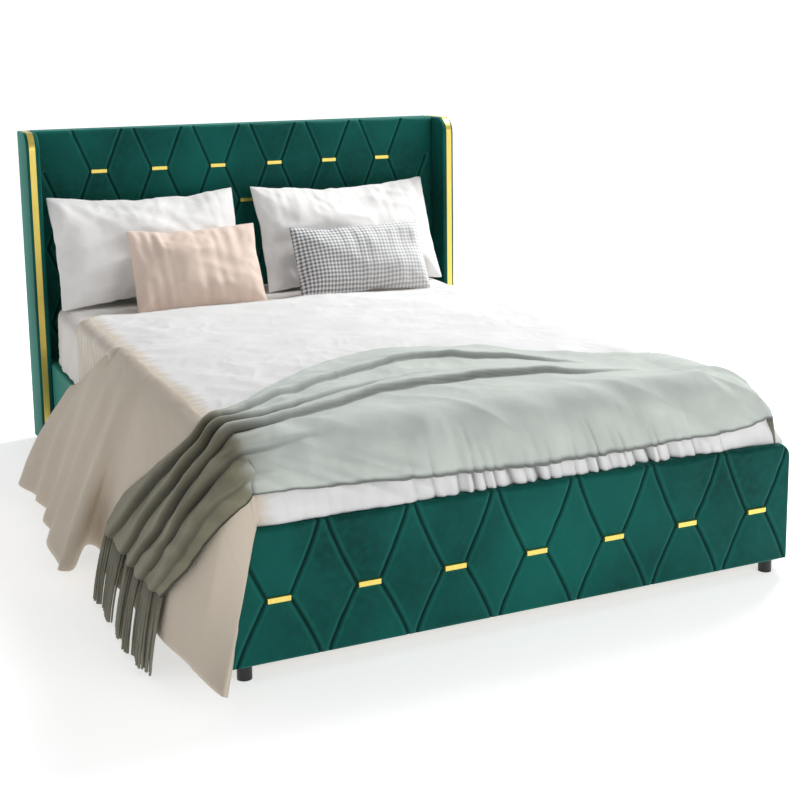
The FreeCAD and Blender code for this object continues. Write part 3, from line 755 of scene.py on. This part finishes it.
LEFT_HEM = [
    (-1.15, -0.757, -1.13, 0.046), (-1.06, -0.792, -1.05, 0.062), (-0.935, -0.8, -0.955, 0.08),
    (-0.75, -0.82, -0.75, 0.075), (-0.58, -0.825, -0.52, 0.07), (-0.45, -0.815, -0.3, 0.066),
    (-0.38, -0.835, -0.235, 0.06), (-0.33, -0.88, -0.29, 0.052), (-0.28, -0.91, -0.335, 0.048),
    (-0.1, -0.892, -0.13, 0.052), (0.15, -0.872, 0.15, 0.058), (0.4, -0.901, 0.404, 0.048)]
RIGHT_TOP = [(-1.15, 0.57), (-1.06, 0.52), (-0.935, 0.47), (-0.6, 0.47), (0.0, 0.5), (0.43, 0.51)]
RIGHT_HIGH = [
    (-1.15, 0.7, -1.004, 0.331), (-1.06, 0.66, -1.003, 0.418), (-0.935, 0.6, -0.93, 0.494),
    (-0.6, 0.6, -0.6, 0.494), (0.0, 0.62, 0.0, 0.494), (0.43, 0.63, 0.43, 0.494)]
RIGHT_LOW = [
    (-1.15, 0.74, -0.985, 0.26), (-1.06, 0.738, -0.965, 0.33), (-0.935, 0.735, -0.93, 0.44),
    (-0.6, 0.74, -0.6, 0.446), (0.0, 0.75, 0.0, 0.452), (0.43, 0.752, 0.43, 0.454)]
RIGHT_HEM = [
    (-1.15, 0.722, -0.95, 0.06), (-1.06, 0.73, -0.94, 0.058), (-0.935, 0.752, -0.925, 0.056),
    (-0.5, 0.8, -0.5, 0.054), (0.0, 0.818, 0.0, 0.058), (0.43, 0.81, 0.43, 0.054)]
RIGHT_SAG = 0.006
# The duvet's head-left side is turned down over the mattress's edge, inside the flap.
SKIRT_ROUND = 0.034
SKIRT_TURN = 0.35
SKIRT_HEM = 0.455
# How much of the painted side shade the turned-down skirt gets.
SKIRT_SIDE_SHADE = 0.62
# Past the notch the flap has a top edge of its own, at this q, apart from the top's edge at q = 0.
NOTCH = 0.0
FLAP_TOP = -1e-6


def bezier(a, b, c, d, t):
    t = np.asarray(t)[..., None]
    return (1 - t)**3 * a + 3 * (1 - t)**2 * t * b + 3 * (1 - t) * t**2 * c + t**3 * d


def spine(v):
    """The height line of the duvet along the bed: level, then down at the foot, as (y, z)."""
    turn = np.clip((FOOT_START - v) / (FOOT_START - FOOT_END), 0, 1)
    y = bezier(FOOT_START, -1.0, -1.018, -1.004, turn)[..., 0]
    z = bezier(TOP_Z, TOP_Z, 0.42, 0.331, turn)[..., 0]
    return np.where(v < FOOT_START, y, v), np.where(v < FOOT_START, z, TOP_Z)


def duvet_rest(q, v):
    """The duvet's outer face without folds.

    q is -1 to 0 up the left drape, 0 to 1 across the top and 1 to 2 down the right drape.
    v is the place along the bed, and below FOOT_START the cloth turns down behind the footboard."""
    q, v = as_grids(q, v)
    spine_y, spine_z = spine(v)
    sag = RIGHT_SAG * smooth_step(v, FOOT_END, FOOT_START)
    left_top = through_points(LEFT_TOP, v)
    right_x = through_points(RIGHT_TOP, v)[..., 0]
    right_top = np.stack([right_x, spine_y, spine_z - sag], axis=-1)
    at_foot = v < FOOT_START
    joined = v <= NOTCH
    left_top[..., 0] = np.where(joined & ~at_foot, -EDGE, left_top[..., 0])
    left_top[..., 1] = np.where(joined, spine_y, left_top[..., 1])
    left_top[..., 2] = np.where(joined, spine_z, left_top[..., 2])
    left = bezier(left_top, through_points(LEFT_HIGH, v), through_points(LEFT_LOW, v),
                  through_points(LEFT_HEM, v), np.clip(-q, 0, 1))
    right = bezier(right_top, through_points(RIGHT_HIGH, v), through_points(RIGHT_LOW, v),
                   through_points(RIGHT_HEM, v), np.clip(q - 1, 0, 1))
    across = np.clip(q, 0, 1)
    left_x = np.where(at_foot, left_top[..., 0], -EDGE)
    crown = 0.004 * np.sin(math.pi * across) * smooth_step(v, FOOT_START, -0.5)
    top = np.stack([left_x + (right_x - left_x) * across, spine_y,
                    spine_z + crown - sag * smooth_step(across, 0.7, 1.0)], axis=-1)
    return np.where((q < 0)[..., None], left, np.where((q > 1)[..., None], right, top))


def duvet_normal(q, v):
    """Unit normals of the duvet's rest shape, pointing out of the bed."""
    small = 1e-3
    apart = v > NOTCH
    low = np.where(apart & (q >= 0), np.maximum(q - small, 0), q - small)
    high = np.where(apart & (q < 0), np.minimum(q + small, FLAP_TOP), q + small)
    across = duvet_rest(high, v) - duvet_rest(low, v)
    along = duvet_rest(q, v + small) - duvet_rest(q, v - small)
    normal = np.cross(across, along)
    length = np.linalg.norm(normal, axis=-1, keepdims=True)
    return normal / np.maximum(length, 1e-9)


def foot_ruffle(q, v):
    """The foot end: where it is and how gathered, the place across it, and its narrow valleys, 0 to 1."""
    across = np.clip(q, 0, 1) * 2 * EDGE
    foot = smooth_step(-v, -FOOT_START + 0.06, -FOOT_END - 0.02) * smooth_step(q, 0, 0.05)
    foot *= 1 - smooth_step(q, 0.95, 1.0)
    gathered = 0.15 + 0.85 * smooth_step(across, 0.3, 0.62) * (1 - 0.5 * smooth_step(across, 1.05, 1.25))
    uneven = across + 0.01 * noise(across, 0, 0.05, 38) + 0.1 * (v - FOOT_END) * np.sin(across * 21)
    phase = (uneven + 0.012 * noise(across, 0, 0.11, 58)) / GATHER_PITCH
    valley = 1 - np.abs(np.sin(math.pi * phase)) ** 0.6
    deep = 0.35 + 0.65 * smooth_step(noise(across, 0, 0.06, 59), -0.5, 0.5)
    return foot, gathered, uneven, foot * gathered * deep * valley


def duvet_folds(q, v):
    """How far the duvet's face stands out from its rest shape, in metres."""
    across = np.clip(q, 0, 1) * 2 * EDGE
    left = np.clip(-q, 0, 1)
    right = np.clip(q - 1, 0, 1)
    cloth = across - 0.5 * left + 0.5 * right
    calm = 0.35 + 0.65 * smooth_step(noise(cloth, v, 0.45, 30), -0.5, 0.4)
    folds = (0.006 * noise(cloth, v, 0.34, 31)
             + calm * 0.013 * creases(cloth, v, 0.24, 41, turn=0.5, stretch=0.6)
             + calm * 0.0075 * creases(cloth, v, 0.12, 44, turn=-0.2, stretch=0.6)
             + calm * 0.003 * creases(cloth, v, 0.055, 47, turn=0.9, stretch=0.7))
    folds = np.where(folds < -0.008, -0.008 + 0.35 * (folds + 0.008), folds)
    folds *= 1 - 0.45 * smooth_step(left, 0.0, 0.3)
    sway = 29 * v + 3.4 * np.sin(4.3 * v) + 0.8 * left
    folds += left**1.3 * (0.01 * np.sin(sway) + 0.016 * noise(v, 0.12 * left, 0.15, 34))
    folds += right * 0.01 * np.sin(v * 29 + 2.5 * np.sin(v * 4.1))
    folds += right * 0.005 * noise(v, right * 0.3, 0.12, 36)
    foot, gathers, uneven, valley = foot_ruffle(q, v)
    wavy = 0.024 * creases(uneven, 0.1 * across, 0.05, 50)
    wavy += 0.015 * noise(uneven, v * 0.2, 0.034, 37)
    folds += foot * gathers * np.minimum(wavy, 0.003)
    folds -= 0.02 * valley
    diagonal = across * 0.8 + (v - FOOT_END) * 2.0
    folds += foot * (1 - gathers) * 0.021 * creases(diagonal, 0.25 * across, 0.1, 53)
    folds *= 1 - 0.3 * smooth_step(-v, 1.12, 1.15) * smooth_step(q, -0.1, 0)
    near_notch = np.exp(-((v - 0.06) / 0.12) ** 2 - left / 0.25) * (1 - smooth_step(q, 0, 0.12))
    folds *= 1 - 0.9 * near_notch
    # Near its top the left drape may not sink in, because the mattress is just behind it.
    return np.maximum(folds, -0.003 - np.maximum(left - 0.2, 0) - (q >= 0))


def duvet_surface(q, v):
    q, v = as_grids(q, v)
    return duvet_rest(q, v) + duvet_normal(q, v) * duvet_folds(q, v)[..., None]


def build_duvet():
    along_foot = np.linspace(FOOT_END, FOOT_START, 40)[:-1]
    along_bed = np.linspace(FOOT_START, NOTCH, 118)
    along_head = np.append(np.linspace(NOTCH, 0.4, 50)[1:], HEAD_EDGE)
    v_body = np.concatenate([along_foot, along_bed])
    v_flap = np.append(NOTCH + 1e-6, along_head)
    v_all = np.concatenate([v_body, along_head])
    q_left = np.linspace(-1, 0, 56)
    points = []
    faces = []
    uvs = []
    painted_side_shade = []
    valley = []

    def add_patch(q_list, v_list, skirt=False):
        q, v = np.meshgrid(q_list, v_list)
        place = duvet_surface(np.maximum(q, 0) if skirt else q, v)
        if skirt:
            turn = np.clip(-q / SKIRT_TURN, 0, 1) * math.pi / 2
            down = np.clip((-q - SKIRT_TURN) / (1 - SKIRT_TURN), 0, 1)
            hem = np.minimum(through_points(LEFT_TOP, v)[..., 2] - 0.03, SKIRT_HEM)
            pleat = 0.0014 * noise(v, 0.1 * down, 0.075, 57) * down
            place[..., 0] -= SKIRT_ROUND * np.sin(turn) + pleat
            place[..., 2] -= SKIRT_ROUND * (1 - np.cos(turn))
            place[..., 2] += (hem - place[..., 2]) * down
        faces.extend(grid_faces(len(v_list), len(q_list), len(points)))
        points.extend(place.reshape(-1, 3))
        drape = np.minimum(q, 0) + np.maximum(q - 1, 0)
        uvs.extend(zip((np.clip(q, 0, 1) * 2 * EDGE + drape * DRAPE_LENGTH).ravel(), v.ravel()))
        # Painted shade on the left drape and low on the right drape.
        side = np.maximum(1 - smooth_step(q * 2 * EDGE, -0.05, 0.1), smooth_step(q, 1.35, 1.6))
        painted_side_shade.extend((side * (SKIRT_SIDE_SHADE if skirt else 1)).ravel())
        # Painted shade in the narrow valleys of the foot's gathers.
        valley.extend((smooth_step(foot_ruffle(q, v)[3], 0.1, 0.75) * 0.85).ravel())

    add_patch(q_left, v_body)
    add_patch(np.minimum(q_left, FLAP_TOP), v_flap[:-1])
    add_patch(np.linspace(0, 1, 400), v_all)
    add_patch(np.linspace(1, 2, 44), v_all)
    add_patch(np.linspace(-1, 0, 24), v_flap, skirt=True)
    duvet = add_object("duvet_cover", points, faces, DUVET_COTTON)
    set_uv(duvet, uvs)
    set_attribute(duvet, "painted_side_shade", painted_side_shade)
    set_attribute(duvet, "valley", valley)
    weld(duvet, 0.0006, turn_out=True)
    add_modifier(duvet, "SOLIDIFY", thickness=0.016, offset=-1.0)
    attach(duvet, "duvet", "duvet")


build_duvet()

# ---- Throw and its fringe

# Metres of cloth along a and b, for the weave and the noise.
CLOTH_LONG = 1.9
CLOTH_WIDE = 0.6
LIP_DROP = 0.006

# Edges of the throw on the duvet, as (place along its length, q, v).
THROW_HEAD_EDGE = [
    (0.0, -0.84, -0.48), (0.08, -0.62, -0.57), (0.16, -0.39, -0.72), (0.22, -0.19, -0.82),
    (0.28, 0.0, -0.81), (0.34, 0.07, -0.74), (0.4, 0.14, -0.66), (0.52, 0.32, -0.49), (0.62, 0.5, -0.4),
    (0.74, 0.7, -0.47), (0.86, 0.9, -0.64), (0.92, 1.1, -0.68), (1.0, 1.45, -0.62)]
THROW_FOOT_EDGE = [
    (0.0, -0.85, -0.88), (0.08, -0.66, -0.99), (0.16, -0.43, -1.06), (0.22, -0.2, -1.09), (0.28, 0.0, -1.09),
    (0.4, 0.14, -1.095), (0.52, 0.32, -1.105), (0.62, 0.5, -1.115), (0.74, 0.7, -1.115), (0.86, 0.9, -1.11),
    (0.92, 1.08, -1.1), (1.0, 1.36, -1.06)]

# Lips of the throw's folds: (place along its length, place across its width, height, reach of the roll).
THROW_LIPS = (
    ((0.0, 0.16, 0.016, 0.045), (0.15, 0.16, 0.024, 0.04), (0.27, 0.15, 0.024, 0.04),
     (0.36, 0.16, 0.018, 0.05), (0.6, 0.2, 0.015, 0.06), (0.74, 0.2, 0.013, 0.06), (0.86, 0.22, 0.0, 0.05)),
    ((0.0, 0.36, 0.016, 0.045), (0.15, 0.35, 0.024, 0.038), (0.27, 0.34, 0.026, 0.036),
     (0.36, 0.38, 0.02, 0.04), (0.5, 0.41, 0.014, 0.04), (0.7, 0.37, 0.0, 0.05), (1.0, 0.37, 0.0, 0.05)),
    ((0.0, 0.54, 0.016, 0.045), (0.15, 0.53, 0.024, 0.038), (0.27, 0.52, 0.026, 0.036),
     (0.36, 0.54, 0.02, 0.05), (0.5, 0.52, 0.019, 0.06), (0.7, 0.47, 0.018, 0.06), (0.8, 0.44, 0.012, 0.06),
     (0.88, 0.42, 0.0, 0.05)),
    ((0.0, 0.72, 0.014, 0.045), (0.15, 0.71, 0.022, 0.038), (0.27, 0.69, 0.022, 0.036),
     (0.34, 0.72, 0.014, 0.04), (0.44, 0.76, 0.0, 0.05), (1.0, 0.76, 0.0, 0.05)),
    ((0.0, 0.88, 0.01, 0.04), (0.15, 0.87, 0.016, 0.036), (0.24, 0.86, 0.014, 0.03),
     (0.31, 0.88, 0.0, 0.04), (1.0, 0.92, 0.0, 0.05)),
)


def throw_place(a, b):
    """The duvet's (q, v) under the throw's point: a along its length, b from head edge to foot edge."""
    head = through_points(THROW_HEAD_EDGE, a)
    foot = through_points(THROW_FOOT_EDGE, a)
    place = head + (foot - head) * b[..., None]
    return place[..., 0], place[..., 1]


def throw_folds(a, b):
    """Folds along the throw, which lie over one another: a slow rise, then a short drop past each lip."""
    ends = through_points(THROW_HEAD_EDGE, a) - through_points(THROW_FOOT_EDGE, a)
    width = np.hypot(DRAPE_LENGTH * ends[..., 0], ends[..., 1])
    height = np.zeros_like(a)
    tuck = np.zeros_like(a)
    for number, lip in enumerate(THROW_LIPS):
        shape = through_points(lip, a)
        wander = 0.012 * noise(a, 0, 0.13, 60 + number)
        past = (b - shape[..., 0] - wander) * width
        rise = np.exp(-(past / shape[..., 2]) ** 2)
        drop = np.exp(-(past / LIP_DROP) ** 2)
        height = np.maximum(height, np.maximum(shape[..., 1], 0) * np.where(past < 0, rise, drop))
        # Painted shade goes just past each lip, under the fold.
        beside = np.exp(-((past - LIP_DROP) / LIP_DROP) ** 2)
        tuck = np.maximum(tuck, beside * np.clip(shape[..., 1] / 0.022, 0, 1))
    long = a * CLOTH_LONG
    soft = 0.004 * noise(long, b * 0.6 + a * 0.5, 0.11, 70)
    soft += 0.011 * (0.4 + creases(long - b * 0.5, b * 0.2, 0.15, 71)) * smooth_step(b, 0.45, 0.7)
    hem_gathers = 0.0012 * noise(long, b * 0.1, 0.045, 72) * smooth_step(b, 0.75, 1.0)
    return height + soft + hem_gathers * smooth_step(a, 0.45, 0.6), tuck


def throw_surface(a, b):
    """The throw bridges the duvet's valleys and lies on its ridges."""
    a, b = as_grids(a, b)
    q, v = throw_place(a, b)
    bridged = np.maximum(duvet_folds(q, v), -0.002 - 0.05 * smooth_step(-q, -0.08, 0.02))
    height = bridged + 0.006 + np.maximum(throw_folds(a, b)[0], -0.003)
    return duvet_rest(q, v) + duvet_normal(q, v) * height[..., None]


def build_throw():
    columns, rows = 420, 150
    a, b = np.meshgrid(np.linspace(0, 1, columns), np.linspace(0, 1, rows))
    places = throw_surface(a, b).reshape(-1, 3)
    throw = add_object("throw_cloth", places, grid_faces(rows, columns), THROW_KNIT)
    set_uv(throw, np.stack([a.ravel() * CLOTH_LONG, b.ravel() * CLOTH_WIDE], axis=1))
    # Painted shade on the left end, which hangs down the bed's side.
    left_shade = 1 - smooth_step(a + 0.02 * noise(a, b, 0.08, 74) + 0.03 * b, 0.265, 0.335)
    set_attribute(throw, "left_shade", left_shade)
    # Painted shade along the foot hem, together with the painted shade under the folds.
    hem = 0.9 * smooth_step(b, 0.982, 0.994)
    set_attribute(throw, "tuck", np.maximum(0.85 * throw_folds(a, b)[1], hem))
    add_modifier(throw, "SOLIDIFY", thickness=0.004, offset=-1.0)
    return throw


YARN_RINGS = 6
YARN_SIDES = 4
YARN_TURNS = [2 * math.pi * k / YARN_SIDES for k in range(YARN_SIDES)]


def build_fringe(name, end, count, length, slope):
    """Yarns that hang from one end of the throw, each a thin tapering tube."""
    outward = -1.0 if end == 0.0 else 1.0
    tube = tube_faces(YARN_RINGS, YARN_SIDES)
    vertices = []
    faces = []
    for k in range(count):
        b = (k + 0.5 + random_order.uniform(-0.25, 0.25)) / count
        root = throw_surface(end, b)
        sway = np.array([random_order.uniform(-0.05, 0.05), random_order.uniform(-0.06, 0.06), 0.0])
        reach = min(length * random_order.uniform(0.9, 1.0), (root[2] - 0.012) / 0.97)
        direction = np.array([slope * outward, -0.04, -1.0]) + sway
        direction /= np.linalg.norm(direction)
        radius = random_order.uniform(0.003, 0.004)
        faces.extend(tuple(len(vertices) + i for i in face) for face in tube)
        for t in np.linspace(0, 1, YARN_RINGS):
            x, y, z = root + (direction * (1 - 0.3 * t) - (0, 0, 0.3 * t)) * reach * t
            size = radius * (1 - 0.25 * t)
            vertices.extend((x + size * math.cos(turn), y + size * math.sin(turn), z) for turn in YARN_TURNS)
    return add_object(name, vertices, faces, FRINGE_YARN)


throw = build_throw()
fringe_left = build_fringe("throw_fringe_left", 0.0, 116, 0.185, 0.3)
fringe_right = build_fringe("throw_fringe_right", 1.0, 90, 0.1, 0.12)
attach(throw, "throw", "throw")
attach(fringe_left, "throw", "throw_fringe")
attach(fringe_right, "throw")

# ---- Pillows and cushions

LEAN = math.radians(27)
SETTLE = 0.018
FLAT_SHARE = 0.72
SLACK = 1.09
SAG = 0.1
CLOTH_STEP = 0.0095
FILL_PRESSURE = 5.0
FILL_FRAMES = 26


def flat_bag(name, wide, tall):
    """Two layers of cloth sewn at their edges, ready to be filled."""
    columns = int(round(wide / CLOTH_STEP)) + 1
    rows = int(round(tall / CLOTH_STEP)) + 1
    x, z = np.meshgrid(np.linspace(-wide / 2, wide / 2, columns), np.linspace(-tall / 2, tall / 2, rows))
    rise = 0.01 * np.clip(1 - (2 * x / wide) ** 8, 0, 1) * np.clip(1 - (2 * z / tall) ** 8, 0, 1)
    rise += 0.0006 * wave_noise(x, z, 0.05, len(name)) * (rise > 0)
    front = np.stack([x, -rise, z], -1).reshape(-1, 3)
    back = np.stack([x, rise, z], -1).reshape(-1, 3)
    faces = grid_faces(rows, columns) + grid_faces(rows, columns, len(front), flip=True)
    bag = add_object(name, np.concatenate([front, back]), faces)
    weld(bag, 0.00001)
    return bag


def fill_bag(bag):
    """Blow the bag up with Blender's cloth, without gravity, and keep the result."""
    cloth = add_modifier(bag, "CLOTH")
    cloth_values = {"quality": 6, "mass": 0.25, "tension_stiffness": 18, "compression_stiffness": 18,
                    "shear_stiffness": 8, "bending_stiffness": 0.4, "air_damping": 2.0,
                    "use_pressure": True, "uniform_pressure_force": FILL_PRESSURE}
    for key, value in cloth_values.items():
        setattr(cloth.settings, key, value)
    cloth.settings.effector_weights.gravity = 0
    cloth.collision_settings.use_collision = False
    cloth.point_cache.frame_start = 1
    cloth.point_cache.frame_end = FILL_FRAMES
    for number in range(1, FILL_FRAMES + 1):
        bpy.context.scene.frame_set(number)
    apply_modifiers(bag)
    bpy.context.scene.frame_set(1)


def shape_pillow(node, material, thick, seed, gather):
    """A filled pillow in the space of its CAD solid, leaning back, with gravity pulling its filling down."""
    low, high = (np.array(corner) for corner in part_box(node))
    wide = high[0] - low[0]
    tall = (high[2] - low[2] - thick * math.sin(LEAN)) / math.cos(LEAN) + 0.03
    bag = flat_bag(node + "_cover", wide * SLACK, tall * SLACK)
    flat = vertex_places(bag)
    fill_bag(bag)
    places = vertex_places(bag)
    x, y, z = places.T
    size = np.ptp(places, axis=0)
    target = np.array([wide * 0.985, thick * 0.97, tall])
    places -= (places.max(axis=0) + places.min(axis=0)) / 2
    places *= target / size
    flat *= target / np.ptp(flat, axis=0)
    for axis in (0, 2):
        places[:, axis] = FLAT_SHARE * flat[:, axis] + (1 - FLAT_SHARE) * places[:, axis]
    side = np.sign(y)
    near_seam = np.minimum(np.abs(y) / 0.02, 1)
    crumple = 0.022 * creases(x, z + side, 0.2, seed, turn=0.6, stretch=0.6)
    crumple += 0.012 * creases(x, z + side, 0.09, seed + 5, turn=-0.4, stretch=0.6)
    for corner_x in (-1, 1):
        for corner_z in (-1, 1):
            away_x = x - corner_x * target[0] / 2
            away_z = z - corner_z * target[2] / 2
            bearing = np.arctan2(np.abs(away_z), np.abs(away_x) + 1e-6)
            reach = np.exp(-np.hypot(away_x, away_z) / (0.22 * target[2] + 0.04))
            crumple += 0.007 * reach * noise(bearing, side + 3 * corner_x + corner_z, 0.26, seed + 7)
    from_seam = target[2] / 2 - np.abs(z)
    gathers = noise(x + 0.08 * z, side, 0.028, seed + 9)
    gathers *= 0.5 + smooth_step(noise(x, side, 0.11, seed + 11), -0.3, 0.4)
    crumple += gather * gathers * np.exp(-from_seam / 0.075)
    y += side * near_seam * np.minimum(crumple, 0.009)
    z += 0.003 * gathers * np.exp(-from_seam / 0.03)
    y *= 1 - 2 * SAG * z / target[2]
    bag.data.vertices.foreach_set("co", places.ravel())
    bag.data.update()
    bag.rotation_euler = (-LEAN, 0, 0)
    bag.location = (low + high) / 2 - (0, 0, SETTLE)
    bpy.context.view_layer.update()
    add_modifier(bag, "SUBSURF", levels=1, render_levels=1)
    bag.data.materials.append(material)
    attach(bag, node, node)


shape_pillow("pillow_left", PILLOW_COTTON, 0.14, 80, 0.012)
shape_pillow("pillow_right", PILLOW_COTTON, 0.14, 90, 0.012)
shape_pillow("cushion_beige", BEIGE_COTTON, 0.11, 100, 0.028)
shape_pillow("cushion_grey", GINGHAM, 0.11, 110, 0.018)

# ---- Floor, light and camera


def floor_material():
    """A pale floor with a soft light of its own, a little stronger far from the bed."""
    material, nodes = new_material("studio_floor", 0.9)
    place = nodes.place("Object")
    nodes.paint(nodes.mix(nodes.noise(place, 1.5), (0.86, 0.86, 0.86), (0.9, 0.9, 0.9)))
    far_off = nodes.ramp(nodes.add("VectorMath", {0: place}, "Value", operation="LENGTH"), 1.5, 4.5)
    glow = nodes.math("ADD", 0.56, nodes.math("MULTIPLY", far_off, 0.16))
    nodes.set(nodes.shader, {"Emission Color": (1, 1, 1, 1), "Emission Strength": glow})
    return material


def studio_world():
    """A soft white sky, stronger low down towards the head's right."""
    world = bpy.data.worlds.new("studio")
    nodes = Shading(world, "Background")
    direction = nodes.add("TexCoord", {}, "Generated")
    toward_head = nodes.math("ADD", nodes.math("MULTIPLY", nodes.part(direction, "X"), 0.55),
                             nodes.math("MULTIPLY", nodes.part(direction, "Y"), 0.83))
    height = nodes.math("ABSOLUTE", nodes.part(direction, "Z"))
    low_glow = nodes.math("SUBTRACT", 1.0, nodes.ramp(height, 0.12, 0.55))
    glow = nodes.math("MULTIPLY", nodes.ramp(toward_head, -0.3, 0.6), low_glow)
    strength = nodes.math("ADD", 0.36, nodes.math("MULTIPLY", glow, 0.74))
    nodes.set(nodes.shader, {"Color": (1, 1, 1, 1), "Strength": strength})
    return world


def area_light(name, place, target, size, power):
    light = bpy.data.lights.new(name, "AREA")
    light.shape = "RECTANGLE"
    light.size, light.size_y = size
    light.energy = power
    obj = bpy.data.objects.new(name, light)
    obj.location = place
    obj.rotation_euler = (Vector(target) - Vector(place)).to_track_quat("-Z", "Y").to_euler()
    bpy.context.scene.collection.objects.link(obj)


FLOOR_REACH = 30
floor_corners = [(x * FLOOR_REACH, y * FLOOR_REACH, 0) for x, y in ((-1, -1), (1, -1), (1, 1), (-1, 1))]
add_object("studio_floor", floor_corners, [(0, 1, 2, 3)], floor_material())
bpy.context.scene.world = studio_world()
area_light("key", (2.5, 1.2, 3.5), (0, -0.2, 0.4), (1.8, 1.8), 180)
area_light("front", (1.8, -5.0, 2.2), (0, 0, 0.4), (3.0, 2.0), 56)

CAMERA_PLACE = Vector((-1.462, -3.545, 1.29))
CAMERA_YAW = math.radians(24.31)
CAMERA_PITCH = math.radians(9.86)
CAMERA_ROLL = math.radians(-0.72)
sine, cosine = math.sin(CAMERA_YAW), math.cos(CAMERA_YAW)
forward = Vector((sine * math.cos(CAMERA_PITCH), cosine * math.cos(CAMERA_PITCH), -math.sin(CAMERA_PITCH)))
level = Vector((cosine, -sine, 0))
upward = level.cross(forward)
right_axis = level * math.cos(CAMERA_ROLL) + upward * math.sin(CAMERA_ROLL)
up_axis = upward * math.cos(CAMERA_ROLL) - level * math.sin(CAMERA_ROLL)
lens = bpy.data.cameras.new("camera")
lens.sensor_width = 36
lens.lens = 62.3
lens.shift_y = -0.15
camera = bpy.data.objects.new("camera", lens)
axes = Matrix((right_axis, up_axis, -forward)).transposed().to_4x4()
camera.matrix_world = Matrix.Translation(CAMERA_PLACE) @ axes
bpy.context.scene.collection.objects.link(camera)
bpy.context.scene.camera = camera
bpy.context.scene.view_settings.view_transform = "Standard"
